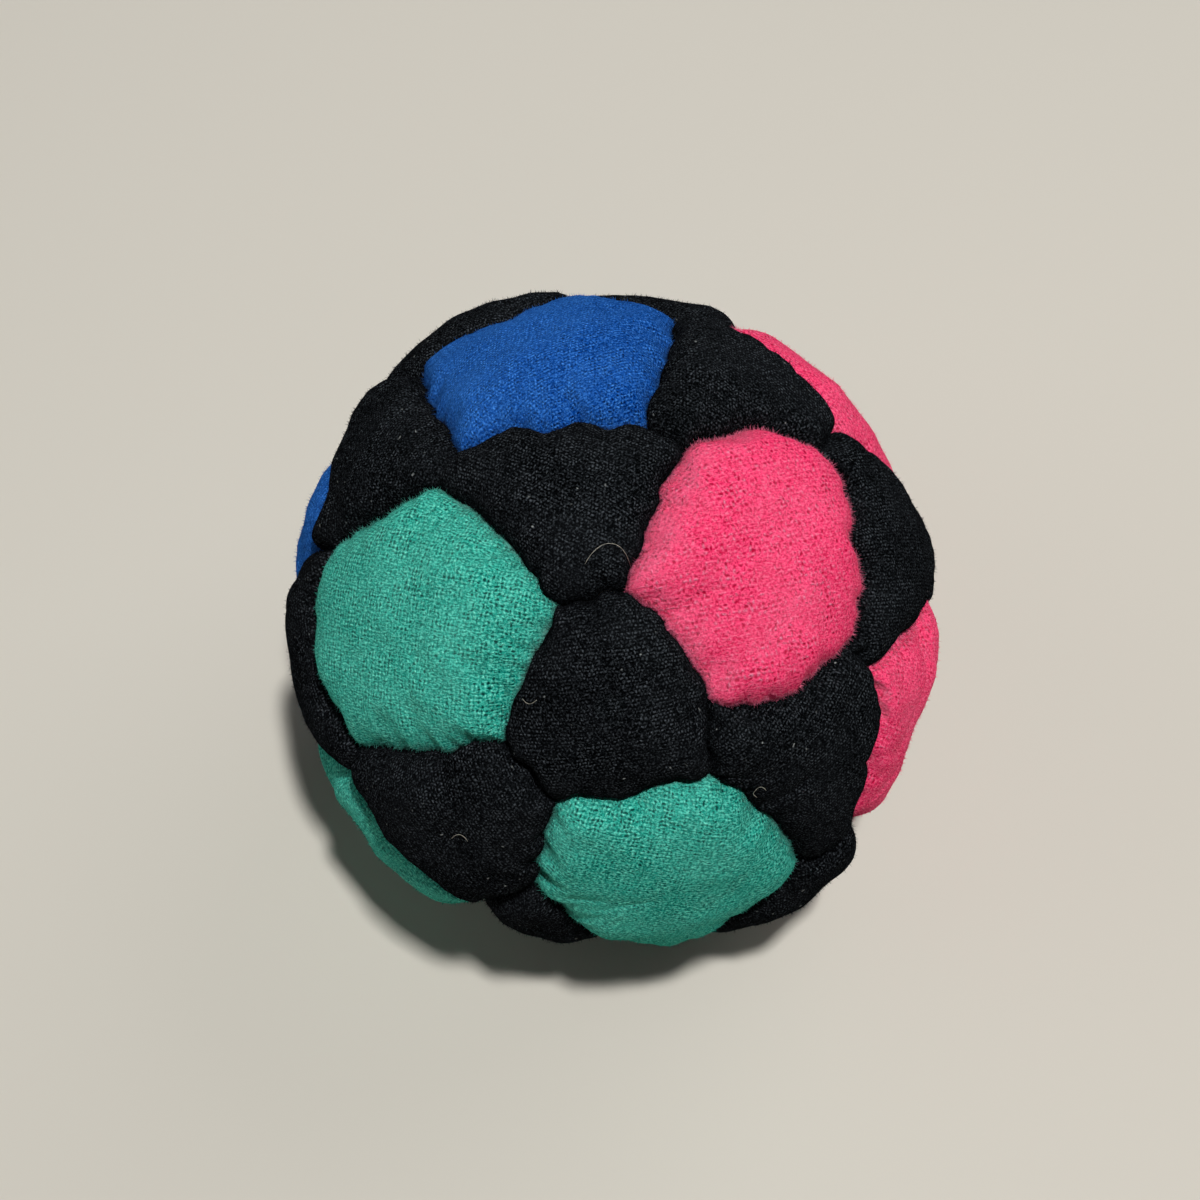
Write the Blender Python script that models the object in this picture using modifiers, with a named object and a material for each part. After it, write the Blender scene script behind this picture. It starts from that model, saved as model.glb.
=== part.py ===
"""Footbag: a hand-sewn ball of thirty-two synthetic suede panels round a filling of sand.

Twelve coloured pentagons and twenty black hexagons, each cut with a margin that is turned in at the
seams. The hexagons have three long sides, sewn to pentagons, and three short ones, sewn to each other.
The bag lies slack on a flat surface at z = 0, so its underside is flat and it is wider than it is tall.
Lengths are in metres, +Z is up, and the photograph was taken from the -Y side, looking down.
"""

import math
import random

import bmesh
import bpy
from mathutils import Euler, Vector

MM = 0.001

# Seam ball: the rounded form that the seams lie on. The panels' crowns stand out past it.
SEAM_WIDTH = 51.0 * MM
SEAM_DEPTH = 53.2 * MM
SEAM_HEIGHT = 47.4 * MM
# How far the slack seam ball would reach below the table if the table didn't hold it up
SETTLE = 1.6 * MM
# Height at which the table holds the seams of the underside, and the rounding of that change
SEAM_LIFT = 1.3 * MM
PRESS_ROUND = 0.7 * MM

# Crowns of the panels over the seam ball
BLACK_RISE = 2.5 * MM
COLOUR_RISE = 2.2 * MM
# Panels that stand out more or less than the others, as shares of the others' rise
PANEL_RISE_share = {
    "green_panel_3": 1.35, "pink_panel_2": 0.6, "pink_panel_3": 1.15,
    "black_panel_04": 1.05, "black_panel_05": 0.8, "black_panel_07": 0.5, "black_panel_08": 1.15,
    "black_panel_09": 1.2, "black_panel_10": 0.85, "black_panel_12": 1.4, "black_panel_14": 0.8,
}
# Shape of a crown, as the two powers of a superellipse from the seam to the panel's middle
CROWN_RUN_POWER = 2.7
CROWN_RISE_POWER = 1.75

# Suede, and its turned-in margins. They have sprung apart by the spread at their raw edges.
SUEDE_THICKNESS = 0.8 * MM
SEAM_GAP = 0.3 * MM
MARGIN = 2.6 * MM
MARGIN_SPREAD = 0.6 * MM

# Sewing thread, and its depth below the seams
THREAD_DIAMETER = 0.35 * MM
THREAD_DEPTH = 1.55 * MM

# Clearances of the sand to the suede: under the crowns and raw edges, and beside the margins
SAND_CLEARANCE = 1.0 * MM
CHANNEL_CLEARANCE = 0.6 * MM

# Pentagons: angle at the ball's middle from a pentagon's middle to its corners
PENTAGON_ANGLE = math.radians(27.0)
# Turn of the whole pattern, as the bag lay when it was photographed
PATTERN_TURN = Euler([math.radians(angle) for angle in (35.5, -30.0, -22.5)])
# Unevenness of the hand sewing on the sides that the photograph doesn't show
SEWING_WANDER_share = 0.02
SEWING_SEED = 7
# How far and how strongly a photographed corner's shift carries over to the corners round it
SHIFT_REACH_share = 0.45
SHIFT_PULL = 3

# The photograph: its middle and the bag's middle, in pixels, its angle of view, the camera's place, and
# the seam ball's proportions in it, by which a pixel becomes a direction from the ball's middle
PHOTO_MIDDLE = Vector((600.0, 600.0))
PHOTO_BAG_MIDDLE = Vector((614.0, 611.0))
PHOTO_ANGLE = math.radians(34.46)
VIEW_ELEVATION = math.radians(65.0)
VIEW_DISTANCE_share = 6.55
PHOTO_BALL_share = (1.0, 1.043, 0.929)
# A corner seen at the limb is placed this far out from the middle of the seam ball's outline
LIMB_share = 0.985

# Mesh: length of the straight stretches that a seam is made of, of which each row towards a panel's
# middle has one fewer, and how far in each row lies, seam to middle
STRETCH_LENGTH = 3.2 * MM
ROW_IN_share = (0.12, 0.36, 0.68)
# How far in the ring between a sand lobe's shoulder and its top lies, seam to middle
LOBE_RING_share = 0.6
# Step along a seam over which its direction is taken
SEAM_STEP_share = 0.01
# Seam points of neighbouring panels closer than this are one point
WELD_DISTANCE = 0.001 * MM

# Pentagons, as a pole, two rings of five and the other pole of an icosahedron
PENTAGONS = (
    "green_1",
    "blue_1", "pink_1", "green_2", "green_3", "blue_2",
    "pink_2", "pink_3", "green_4", "blue_4", "blue_3",
    "pink_4",
)

# Where the photograph shows the seams' corners: (pentagon of the corner, pentagon it points to)
PHOTO_CORNERS = {
    ("green_1", "pink_1"): (558, 605), ("pink_1", "green_1"): (624, 592),
    ("green_1", "blue_1"): (443, 490), ("blue_1", "green_1"): (463, 456),
    ("green_1", "green_2"): (507, 741), ("green_2", "green_1"): (558, 797),
    ("green_1", "green_3"): (367, 743), ("green_3", "green_1"): (371, 771),
    ("green_1", "blue_2"): (341, 554), ("blue_2", "green_1"): (326, 553),
    ("blue_1", "blue_2"): (418, 380),
    ("pink_1", "blue_1"): (682, 457), ("blue_1", "pink_1"): (648, 431),
    ("blue_1", "pink_2"): (676, 330), ("pink_2", "blue_1"): (716, 341),
    ("pink_1", "pink_2"): (812, 457), ("pink_2", "pink_1"): (829, 436),
    ("pink_1", "pink_3"): (843, 642), ("pink_3", "pink_1"): (863, 667),
    ("pink_1", "green_2"): (709, 700), ("green_2", "pink_1"): (706, 773),
    ("green_2", "green_3"): (535, 876), ("green_3", "green_2"): (488, 885),
    ("green_2", "pink_3"): (793, 850), ("pink_3", "green_2"): (838, 812),
}

# Corners at and past the limb: their bearing round the bag's middle in the photograph, counterclockwise
# from its right, and their angle from the line of sight
LIMB_CORNERS = {
    ("green_2", "green_4"): (math.radians(-84), math.radians(96)),
    ("green_4", "green_2"): (math.radians(-83), math.radians(105)),
    ("blue_2", "blue_1"): (math.radians(143), math.radians(86)),
    ("blue_1", "blue_3"): (math.radians(97), math.radians(78)),
    ("blue_3", "blue_1"): (math.radians(98), math.radians(87)),
    ("pink_3", "pink_2"): (math.radians(5), math.radians(84)),
}

# Where the photograph shows the middles of the long seams: (pentagon, and the pentagons that its
# two corners point to)
PHOTO_SEAM_MIDDLES = {
    ("green_1", "blue_1", "pink_1"): (506, 541), ("green_1", "pink_1", "green_2"): (528, 673),
    ("green_1", "green_2", "green_3"): (435, 751), ("green_1", "blue_2", "blue_1"): (390, 514),
    ("pink_1", "green_1", "blue_1"): (649, 522), ("pink_1", "blue_1", "pink_2"): (751, 433),
    ("pink_1", "pink_2", "pink_3"): (848, 552), ("pink_1", "pink_3", "green_2"): (783, 694),
    ("pink_1", "green_2", "green_1"): (673, 635), ("blue_1", "green_1", "pink_1"): (555, 436),
    ("green_2", "green_1", "pink_1"): (634, 785), ("green_2", "green_3", "green_1"): (543, 838),
    ("green_2", "pink_1", "pink_3"): (755, 798), ("green_1", "green_3", "blue_2"): (330, 640),
    ("blue_2", "blue_1", "green_1"): (328, 484),
}

# Materials: red, green and blue, and roughness
FINISHES = {
    "green": ((0.05, 0.42, 0.31), 0.9),
    "blue": ((0.01, 0.09, 0.40), 0.9),
    "pink": ((0.85, 0.08, 0.18), 0.9),
    "black": ((0.008, 0.009, 0.012), 0.95),
    "thread": ((0.015, 0.015, 0.018), 0.7),
    "sand": ((0.52, 0.43, 0.30), 1.0),
}


# The seam ball


def half_axes():
    """Half the seam ball's width, depth and height."""
    return Vector((SEAM_WIDTH, SEAM_DEPTH, SEAM_HEIGHT)) / 2


def ball_middle():
    """Middle of the seam ball, over the table."""
    return Vector((0, 0, SEAM_HEIGHT / 2 - SETTLE))


def over_axes(vector, axes):
    """A vector in the proportions of the unit ball, which a ball with these half axes is made from."""
    return Vector([part / axis for part, axis in zip(vector, axes)])


def outward(direction):
    """The seam ball's outward normal there."""
    return over_axes(direction, half_axes()).normalized()


def seam_point(direction):
    """The point of the seam ball in that direction, held up by the table on the underside."""
    half = half_axes()
    stretched = Vector((direction.x * half.x, direction.y * half.y, direction.z * half.z))
    point = ball_middle() + stretched
    over = (point.z - SEAM_LIFT) / PRESS_ROUND
    point.z = SEAM_LIFT + PRESS_ROUND * (max(over, 0) + math.log1p(math.exp(-abs(over))))
    return point


def photo_axes():
    """The camera's axes: right, up and back."""
    up = Vector((0, math.sin(VIEW_ELEVATION), math.cos(VIEW_ELEVATION)))
    back = Vector((0, -math.cos(VIEW_ELEVATION), math.sin(VIEW_ELEVATION)))
    return Vector((1, 0, 0)), up, back


def limb_direction(bearing, angle):
    """The direction at a bearing in the photograph and an angle from the line of sight."""
    right, up, back = photo_axes()
    across = right * math.cos(bearing) + up * math.sin(bearing)
    return back * math.cos(angle) + across * math.sin(angle)


def photo_direction(pixel):
    """The direction in which the camera sees the seam ball at a pixel of the photograph."""
    right, up, back = photo_axes()
    pixels_away = PHOTO_MIDDLE.x / math.tan(PHOTO_ANGLE / 2)

    def ray(point):
        across, down = (Vector(point) - PHOTO_MIDDLE) / pixels_away
        return right * across - up * down - back

    # The camera lies behind the bag's middle, seen through the bag's own pixel
    camera = over_axes(-ray(PHOTO_BAG_MIDDLE) * VIEW_DISTANCE_share, PHOTO_BALL_share)
    way = over_axes(ray(pixel), PHOTO_BALL_share)
    nearest = camera - way * (camera.dot(way) / way.length_squared)
    if nearest.length > LIMB_share:
        nearest = nearest.normalized() * LIMB_share
    depth = math.sqrt(1 - nearest.length_squared)
    return (nearest - way.normalized() * depth).normalized()


# The pattern of seams


def pentagon_middles():
    """Direction of each pentagon's middle, by name."""
    tilt = math.atan(1 / 2)
    middles = [Vector((0, 0, 1))]
    for ring in (0, 1):
        for place in range(5):
            turn = math.radians(90 - 72 * place - 36 * ring)
            height = math.sin(tilt) * (1 - 2 * ring)
            flat = math.cos(tilt)
            middles.append(Vector((flat * math.cos(turn), flat * math.sin(turn), height)))
    middles.append(Vector((0, 0, -1)))
    turned = PATTERN_TURN.to_matrix()
    return {name: turned @ middle for name, middle in zip(PENTAGONS, middles)}


def neighbours(name, middles):
    """The five pentagons nearest to this one, in order round it, seen from outside."""
    middle = middles[name]
    others = sorted(middles, key=lambda other: -middle.dot(middles[other]))[1:6]
    first = (middles[others[0]] - middle * middle.dot(middles[others[0]])).normalized()
    second = middle.cross(first)

    def turn(other):
        return math.atan2(middles[other].dot(second), middles[other].dot(first))

    return sorted(others, key=turn)


def corner_directions(middles):
    """Direction of each seam corner, at the photographed one or moved as those near it are."""
    even = {}
    for name in PENTAGONS:
        for other in neighbours(name, middles):
            way = PENTAGON_ANGLE / middles[name].angle(middles[other])
            even[name, other] = middles[name].slerp(middles[other], way)
    shown = {key: photo_direction(pixel) for key, pixel in PHOTO_CORNERS.items()}
    shown.update({key: limb_direction(*place) for key, place in LIMB_CORNERS.items()})
    shifts = {key: direction - even[key] for key, direction in shown.items()}
    wander = random.Random(SEWING_SEED)
    corners = {}
    for key, direction in even.items():
        shift = Vector([wander.uniform(-1, 1) for axis in range(3)]) * SEWING_WANDER_share
        weight = 1.0
        for other, other_shift in shifts.items():
            nearness = math.exp(-((direction - even[other]).length / SHIFT_REACH_share) ** 2) * SHIFT_PULL
            shift += other_shift * nearness
            weight += nearness
        shift = shifts.get(key, shift / weight)
        corners[key] = (direction + shift).normalized()
    return corners


class Seam:
    """A curved seam between two corners, through its middle, as directions on the unit ball."""

    def __init__(self, start, end, middle=None):
        self.start, self.end = start, end
        self.middle = middle or (start + end).normalized()
        length = (seam_point(end) - seam_point(start)).length
        self.stretches = max(round(length / STRETCH_LENGTH), 1)

    def at(self, share):
        """Direction at a share of the seam's length."""
        point = (
            self.start * ((1 - share) * (1 - 2 * share))
            + self.middle * (4 * share * (1 - share))
            + self.end * (share * (2 * share - 1))
        )
        return point.normalized()

    def reversed(self):
        return Seam(self.end, self.start, self.middle)


def all_seams(middles, corners):
    """Long seams by (pentagon, neighbour, next neighbour), and short ones by (pentagon, neighbour)."""
    seams = {}
    for name in PENTAGONS:
        around = neighbours(name, middles)
        for this, following in zip(around, around[1:] + around[:1]):
            pixel = PHOTO_SEAM_MIDDLES.get((name, this, following))
            pixel = pixel or PHOTO_SEAM_MIDDLES.get((name, following, this))
            middle = photo_direction(pixel) if pixel else None
            long = Seam(corners[name, this], corners[name, following], middle)
            short = Seam(corners[name, this], corners[this, name])
            seams[name, this, following] = long
            seams.setdefault((name, this), short)
            seams.setdefault((this, name), seams[name, this].reversed())
    return seams


def pentagon_sides(name, middles, seams):
    """The five seams round a pentagon, in order."""
    around = neighbours(name, middles)
    return [seams[name, this, after] for this, after in zip(around, around[1:] + around[:1])]


def hexagons(middles):
    """The twenty triples of pentagons that meet round a hexagon, top ones first."""
    found = []
    for name in PENTAGONS:
        around = neighbours(name, middles)
        for this, following in zip(around, around[1:] + around[:1]):
            if name == min(name, this, following):
                found.append((name, this, following))

    def height(triple):
        return sum((middles[name] for name in triple), Vector()).z

    return sorted(found, key=height, reverse=True)


def hexagon_sides(triple, seams):
    """The six seams round a hexagon, in order: its long sides run backwards along the pentagons."""
    sides = []
    for first, second, third in (triple, triple[1:] + triple[:1], triple[2:] + triple[:2]):
        sides.append(seams[first, second])
        sides.append(seams[second, third, first].reversed())
    return sides


# Panels


def seam_frame(seam, along):
    """A seam's point, the way up out of the bag there, and the way in over the panel on its left."""
    point = seam_point(seam.at(along))
    up = (point - ball_middle()).normalized()
    ahead = seam_point(seam.at(along + SEAM_STEP_share)) - seam_point(seam.at(along - SEAM_STEP_share))
    return point, up, up.cross(ahead).normalized()


class Panel:
    """One panel's place: its sides, its middle and how far its crown rises over the seams."""

    def __init__(self, sides, rise):
        self.sides = sides
        self.rise = rise
        self.middle = sum((side.start + side.middle for side in sides), Vector()).normalized()

    def rise_at(self, inward):
        """Height of the crown over the seam ball, a share of the way in to the middle."""
        run = 1 - (1 - inward) ** CROWN_RUN_POWER
        return self.rise * run ** (1 / CROWN_RISE_POWER)

    def crown(self, side, along, inward, under=0.0):
        """A point of the crown's outer face, or of a face that lies this far under it."""
        direction = self.sides[side].at(along).lerp(self.middle, inward).normalized()
        point = seam_point(direction) + outward(direction) * (self.rise_at(inward) - under)
        point.z = max(point.z, under)
        return point

    def inset(self, side, along, width, depth):
        """A point this far in over the panel from a seam, and this deep below the seam."""
        point, up, way_in = seam_frame(self.sides[side], along)
        if along == 0:
            way_in_before = seam_frame(self.sides[side - 1], 1)[2]
            way_in = (way_in + way_in_before) / (1 + way_in.dot(way_in_before))
        return point + way_in * width - up * depth

    def shoulder(self, side, along, width, under):
        """A point this far in over the panel from a seam, and this far under its crown."""
        across = (seam_point(self.sides[side].at(along)) - seam_point(self.middle)).length
        point = self.inset(side, along, width, under - self.rise_at(width / across))
        point.z = max(point.z, under)
        return point


def all_panels():
    """Every panel by its node's name."""
    middles = pentagon_middles()
    seams = all_seams(middles, corner_directions(middles))
    panels = {}
    for name in PENTAGONS:
        node = name.replace("_", "_panel_")
        rise = COLOUR_RISE * PANEL_RISE_share.get(node, 1)
        panels[node] = Panel(pentagon_sides(name, middles, seams), rise)
    for number, triple in enumerate(hexagons(middles), start=1):
        node = f"black_panel_{number:02d}"
        rise = BLACK_RISE * PANEL_RISE_share.get(node, 1)
        panels[node] = Panel(hexagon_sides(triple, seams), rise)
    return panels


# Meshes


def add_ring(mesh, panel, point_at, row=0):
    """Points round a panel from point_at(side, share along it), as a list for each side."""
    ring = []
    for side, seam in enumerate(panel.sides):
        stretches = max(seam.stretches - row, 1)
        ring.append([mesh.verts.new(point_at(side, step / stretches)) for step in range(stretches)])
    return ring


def fill_between(mesh, outer, inner):
    """Triangles between two rings that run the same way round, the inner one with no more points."""
    for side in range(len(outer)):
        after = (side + 1) % len(outer)
        near = outer[side] + outer[after][:1]
        far = inner[side] + inner[after][:1]
        out, into = 0, 0
        while out < len(near) - 1 or into < len(far) - 1:
            here, there = near[out], far[into]
            if into == len(far) - 1 or (out + 1) * (len(far) - 1) <= (into + 1) * (len(near) - 1):
                out += 1
                mesh.faces.new((here, near[out], there))
            else:
                into += 1
                mesh.faces.new((here, far[into], there))


def close_over(mesh, ring, point):
    """Triangles from a ring to the one point at its middle."""
    top = mesh.verts.new(point)
    around = [vertex for side in ring for vertex in side]
    for here, following in zip(around, around[1:] + around[:1]):
        mesh.faces.new((here, following, top))


def panel_surface(panel):
    """The outer face of a panel with its turned-in margin, as an open surface."""
    half_gap = SEAM_GAP / 2
    raw_inset = half_gap + MARGIN_SPREAD
    mesh = bmesh.new()
    raw_edge = add_ring(mesh, panel, lambda side, along: panel.inset(side, along, raw_inset, MARGIN))
    ring = add_ring(mesh, panel, lambda side, along: panel.inset(side, along, half_gap, 0))
    fill_between(mesh, raw_edge, ring)
    for row, inward in enumerate(ROW_IN_share, start=1):
        inner = add_ring(mesh, panel, lambda side, along: panel.crown(side, along, inward), row)
        fill_between(mesh, ring, inner)
        ring = inner
    close_over(mesh, ring, panel.crown(0, 0, 1))
    return mesh


def sand_surface(panels):
    """The sand: a lobe under each panel, and channels along the seams that the margins stand in."""
    under = SUEDE_THICKNESS + SAND_CLEARANCE
    floor = MARGIN + SAND_CLEARANCE
    channel = SEAM_GAP / 2 + MARGIN_SPREAD + SUEDE_THICKNESS + CHANNEL_CLEARANCE
    mesh = bmesh.new()
    for panel in panels.values():
        seam = add_ring(mesh, panel, lambda side, along: panel.inset(side, along, 0, floor))
        foot = add_ring(mesh, panel, lambda side, along: panel.inset(side, along, channel, floor))
        shoulder = add_ring(mesh, panel, lambda side, along: panel.shoulder(side, along, channel, under))
        lobe = add_ring(
            mesh, panel, lambda side, along: panel.crown(side, along, LOBE_RING_share, under),
            row=len(ROW_IN_share))
        fill_between(mesh, seam, foot)
        fill_between(mesh, foot, shoulder)
        fill_between(mesh, shoulder, lobe)
        close_over(mesh, lobe, panel.crown(0, 0, 1, under))
    bmesh.ops.remove_doubles(mesh, verts=mesh.verts, dist=WELD_DISTANCE)
    return mesh


def thread_surface(panels):
    """The sewing thread: a net of strands along the seams, between the margins that they hold."""
    radius = THREAD_DIAMETER / 2
    top, bottom = THREAD_DEPTH - radius, THREAD_DEPTH + radius
    mesh = bmesh.new()
    for panel in panels.values():
        upper = add_ring(mesh, panel, lambda side, along: panel.inset(side, along, 0, top))
        flank = add_ring(mesh, panel, lambda side, along: panel.inset(side, along, radius, THREAD_DEPTH))
        lower = add_ring(mesh, panel, lambda side, along: panel.inset(side, along, 0, bottom))
        fill_between(mesh, upper, flank)
        fill_between(mesh, flank, lower)
    bmesh.ops.remove_doubles(mesh, verts=mesh.verts, dist=WELD_DISTANCE)
    return mesh


# Objects


def finish_material(name):
    """A material of the named colour and roughness."""
    colour, roughness = FINISHES[name]
    material = bpy.data.materials.new(f"{name}_material")
    material.use_nodes = True
    shader = material.node_tree.nodes["Principled BSDF"]
    shader.inputs["Base Color"].default_value = (*colour, 1)
    shader.inputs["Roughness"].default_value = roughness
    shader.inputs["Metallic"].default_value = 0
    return material


def place(name, mesh, origin, material, parent):
    """An object of the finished mesh, with its own origin at that point."""
    bmesh.ops.translate(mesh, verts=mesh.verts, vec=-origin)
    data = bpy.data.meshes.new(name)
    mesh.to_mesh(data)
    mesh.free()
    data.shade_smooth()
    data.materials.append(material)
    thing = bpy.data.objects.new(name, data)
    bpy.data.collections["footbag"].objects.link(thing)
    thing.parent = parent
    thing.location = origin
    return thing


def build_panel(name, panel, material, parent):
    """A panel: its outer face and margin, made as thick as the suede inwards."""
    thing = place(name, panel_surface(panel), seam_point(panel.middle), material, parent)
    shell = thing.modifiers.new("suede thickness", "SOLIDIFY")
    shell.thickness = SUEDE_THICKNESS
    shell.offset = -1
    shell.use_even_offset = True


def centre_plan(bag, things):
    """Moves the bag's empty so that the middle of the bag's plan is at the origin."""
    bpy.context.view_layer.update()
    corners = [thing.matrix_world @ Vector(corner) for thing in things for corner in thing.bound_box]
    for axis in (0, 1):
        reach = [corner[axis] for corner in corners]
        bag.location[axis] = -(min(reach) + max(reach)) / 2


def main():
    for thing in list(bpy.data.objects):
        bpy.data.objects.remove(thing)
    collection = bpy.data.collections.new("footbag")
    bpy.context.scene.collection.children.link(collection)
    materials = {name: finish_material(name) for name in FINISHES}
    bag = bpy.data.objects.new("bag", None)
    collection.objects.link(bag)

    panels = all_panels()
    for name, panel in panels.items():
        build_panel(name, panel, materials[name.split("_")[0]], bag)
    place("sand_filling", sand_surface(panels), ball_middle(), materials["sand"], bag)
    place("seam_thread", thread_surface(panels), ball_middle(), materials["thread"], bag)
    centre_plan(bag, [thing for thing in collection.objects if thing.type == "MESH"])


main()
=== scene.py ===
"""Footbag: the looks of its suede panels, thread and sand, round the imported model.

Each panel is a crowned pad of knitted suede. It lies in the same pattern of seams as its solid, with the
stitches' waves and puckers along its seams, and with its margin turned in between the panels.
Lengths are in metres, +Z is up, and the photograph was taken from the -Y side, looking down.
"""

import math
import random

import bpy
import numpy as np
from mathutils import Euler, Matrix, Vector


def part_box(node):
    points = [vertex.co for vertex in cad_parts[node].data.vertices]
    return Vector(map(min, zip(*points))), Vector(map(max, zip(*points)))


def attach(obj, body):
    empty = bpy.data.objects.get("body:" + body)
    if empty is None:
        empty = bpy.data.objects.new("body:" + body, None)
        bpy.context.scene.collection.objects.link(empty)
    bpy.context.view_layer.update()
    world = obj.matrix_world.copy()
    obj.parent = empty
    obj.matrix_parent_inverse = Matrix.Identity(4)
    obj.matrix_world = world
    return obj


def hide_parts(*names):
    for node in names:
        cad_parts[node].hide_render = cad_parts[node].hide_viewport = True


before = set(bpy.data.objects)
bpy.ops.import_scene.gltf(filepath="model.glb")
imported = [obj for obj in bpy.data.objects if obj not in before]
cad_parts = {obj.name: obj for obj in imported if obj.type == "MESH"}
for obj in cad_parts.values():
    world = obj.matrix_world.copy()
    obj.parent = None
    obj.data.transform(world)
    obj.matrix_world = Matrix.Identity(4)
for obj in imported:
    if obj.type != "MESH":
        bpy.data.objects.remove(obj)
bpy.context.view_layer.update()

MM = 0.001

# Seam ball: the rounded form that the seams lie on
SEAM_WIDTH = 51.0 * MM
SEAM_DEPTH = 53.2 * MM
SEAM_HEIGHT = 47.4 * MM
SETTLE = 1.6 * MM
SEAM_LIFT = 1.3 * MM
PRESS_ROUND = 0.7 * MM
HALF_AXES = np.array((SEAM_WIDTH, SEAM_DEPTH, SEAM_HEIGHT)) / 2
BALL_MIDDLE = np.array((0, 0, SEAM_HEIGHT / 2 - SETTLE))

# Crowns of the panels over the seam ball, and the rounding of their underside on the table
BLACK_RISE = 2.6 * MM
COLOUR_RISE = 2.25 * MM
RISE_SPREAD_share = 0.06
# Panels that stand out more or less than the others, as shares of the others' rise
PANEL_RISE_share = {
    "green_panel_3": 1.35, "pink_panel_2": 0.6, "pink_panel_3": 1.0,
    "black_panel_04": 1.05, "black_panel_05": 0.8, "black_panel_07": 0.5, "black_panel_08": 1.15,
    "black_panel_09": 1.0, "black_panel_10": 0.85, "black_panel_12": 1.4, "black_panel_14": 0.8,
}
CROWN_RUN_POWER = 2.7
CROWN_RISE_POWER = 1.9
# How strongly a crown's height follows the nearest seam rather than all seams alike
NEAREST_POWER = 4.5
TABLE_ROUND = 0.12 * MM

# Suede and its turned-in margins
SUEDE_THICKNESS = 0.8 * MM
SEAM_GAP = 0.06 * MM
MARGIN = 2.6 * MM
MARGIN_SPREAD = 0.6 * MM
THREAD_DIAMETER = 0.35 * MM
THREAD_DEPTH = 1.55 * MM

# Stitches: their pitch, how far the seam waves between them and how deep they pull the suede
STITCH_PITCH = 2.0 * MM
STITCH_WAVE = 0.34 * MM
STITCH_DIP = 0.32 * MM
# Range of the waves' draws along a pentagon, which puffs out between its stitches more than in
SCALLOP_RANGE_share = (-0.9, 0.5)
# How much of a stitch's wave lies near its middle, and the range of the stitches' pulls
WAVE_POWER = 1.3
DIP_RANGE_share = (0.4, 1)
# How far stitches stray from even places, as a share of the seam
STITCH_STRAY_share = 0.08
# How far a whole seam sways to and fro, and in how many half waves along it
SEAM_SWAY = 0.16 * MM
SWAY_WAVES = (2, 3, 5)
# Seams whose edges the photograph shows: how much of a stitch's wave is left to chance, and over what
# share of the seam each of its pixels is felt
SHOWN_WAVE_share = 0.3
SHOWN_REACH_share = 0.05
SHOWN_STEPS = 200
WAVE_REACH = 1.1 * MM
DIP_REACH = 1.3 * MM
# How far black panels lean over coloured ones, for each unit of height over the seam
LEAN_share = 0.38
LEAN_REACH = 1.5 * MM

# Lumps of the sand under the suede: (length of the waves, height)
LUMPS = ((11.0 * MM, 0.22 * MM), (5.5 * MM, 0.11 * MM), (2.6 * MM, 0.04 * MM))
LUMP_WAVES = 14
LUMP_SEED = 11

# Tilt of the knit's rows from the photograph's right, counterclockwise; the others lie at random
KNIT_TILT = {
    "green_panel_1": math.radians(-7), "green_panel_2": math.radians(-22), "green_panel_3": math.radians(10),
    "pink_panel_1": math.radians(14), "pink_panel_3": math.radians(-20), "blue_panel_1": math.radians(40),
    "black_panel_01": math.radians(-32), "black_panel_03": math.radians(8),
}
# How far from a seam the rim of its panels reaches
RIM_REACH = 0.6 * MM

# The pattern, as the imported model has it
PENTAGON_ANGLE = math.radians(27.0)
PATTERN_TURN = Euler([math.radians(angle) for angle in (35.5, -30.0, -22.5)])
SEWING_WANDER_share = 0.02
SEWING_SEED = 7
SHIFT_REACH_share = 0.45
SHIFT_PULL = 3
SEAM_STEP_share = 0.01

# The photograph: its middle and the bag's middle, in pixels, its angle of view, the camera's place, and
# the seam ball's proportions in it, by which a pixel becomes a direction from the ball's middle
PHOTO_MIDDLE = Vector((600.0, 600.0))
PHOTO_BAG_MIDDLE = Vector((614.0, 611.0))
PHOTO_ANGLE = math.radians(34.46)
VIEW_ELEVATION = math.radians(65.0)
VIEW_DISTANCE_share = 6.55
PHOTO_BALL_share = (1.0, 1.043, 0.929)
LIMB_share = 0.985

# Cloth simulation: a coarse cage of each outer face, with every so many of its columns, blown up this
# many times, held at its seams and filled by pressure, its spare fabric, and how far it may move
CLOTH_COLUMNS = 3
CLOTH_ROWS = 11
CLOTH_CROWDING = 1.35
CLOTH_SCALE = 40
CLOTH_FRAMES = 20
CLOTH_PRESSURE = 4.0
CLOTH_SPARE_share = 0.06
CLOTH_STIFFNESS = 15
CLOTH_BENDING = 0.5
CLOTH_CAP = 0.6 * MM
CLOTH_STILL = CLOTH_CAP / 1000

# Fibres of the brushed suede: how many stand on a square metre, or on a metre of rim; their lengths and
# thickness; and how far they lean from upright
NAP_FIBRES = 4.0e6
RIM_FIBRES = {"green": 18000, "pink": 34000, "blue": 18000, "black": 9000}
NAP_FIBRE_LENGTHS = (0.14 * MM, 0.38 * MM)
RIM_FIBRE_LENGTHS = (0.22 * MM, 0.62 * MM)
FIBRE_THICKNESS = 0.045 * MM
FIBRE_LEAN_share = 1.1
RIM_ROWS = 5
RIM_NEARNESS_share = 0.7
FLOOR_CLEARANCE = 0.02 * MM

# Stray fibres that lie on black panels: the photograph's pixels along each, and how high it arches
STRAY_FIBRES = (
    (((585, 564), (597, 549), (614, 545), (630, 566)), 0.5 * MM),
    (((757, 797), (754, 789), (760, 785), (766, 790)), 0.25 * MM),
    (((523, 699), (530, 704), (537, 700)), 0.1 * MM),
    (((452, 838), (461, 833), (468, 841)), 0.15 * MM),
)
STRAY_THICKNESS = 0.045 * MM
STRAY_STEPS = 16
STRAY_SMOOTHING = 3
STRAY_SIDES = 5
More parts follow.
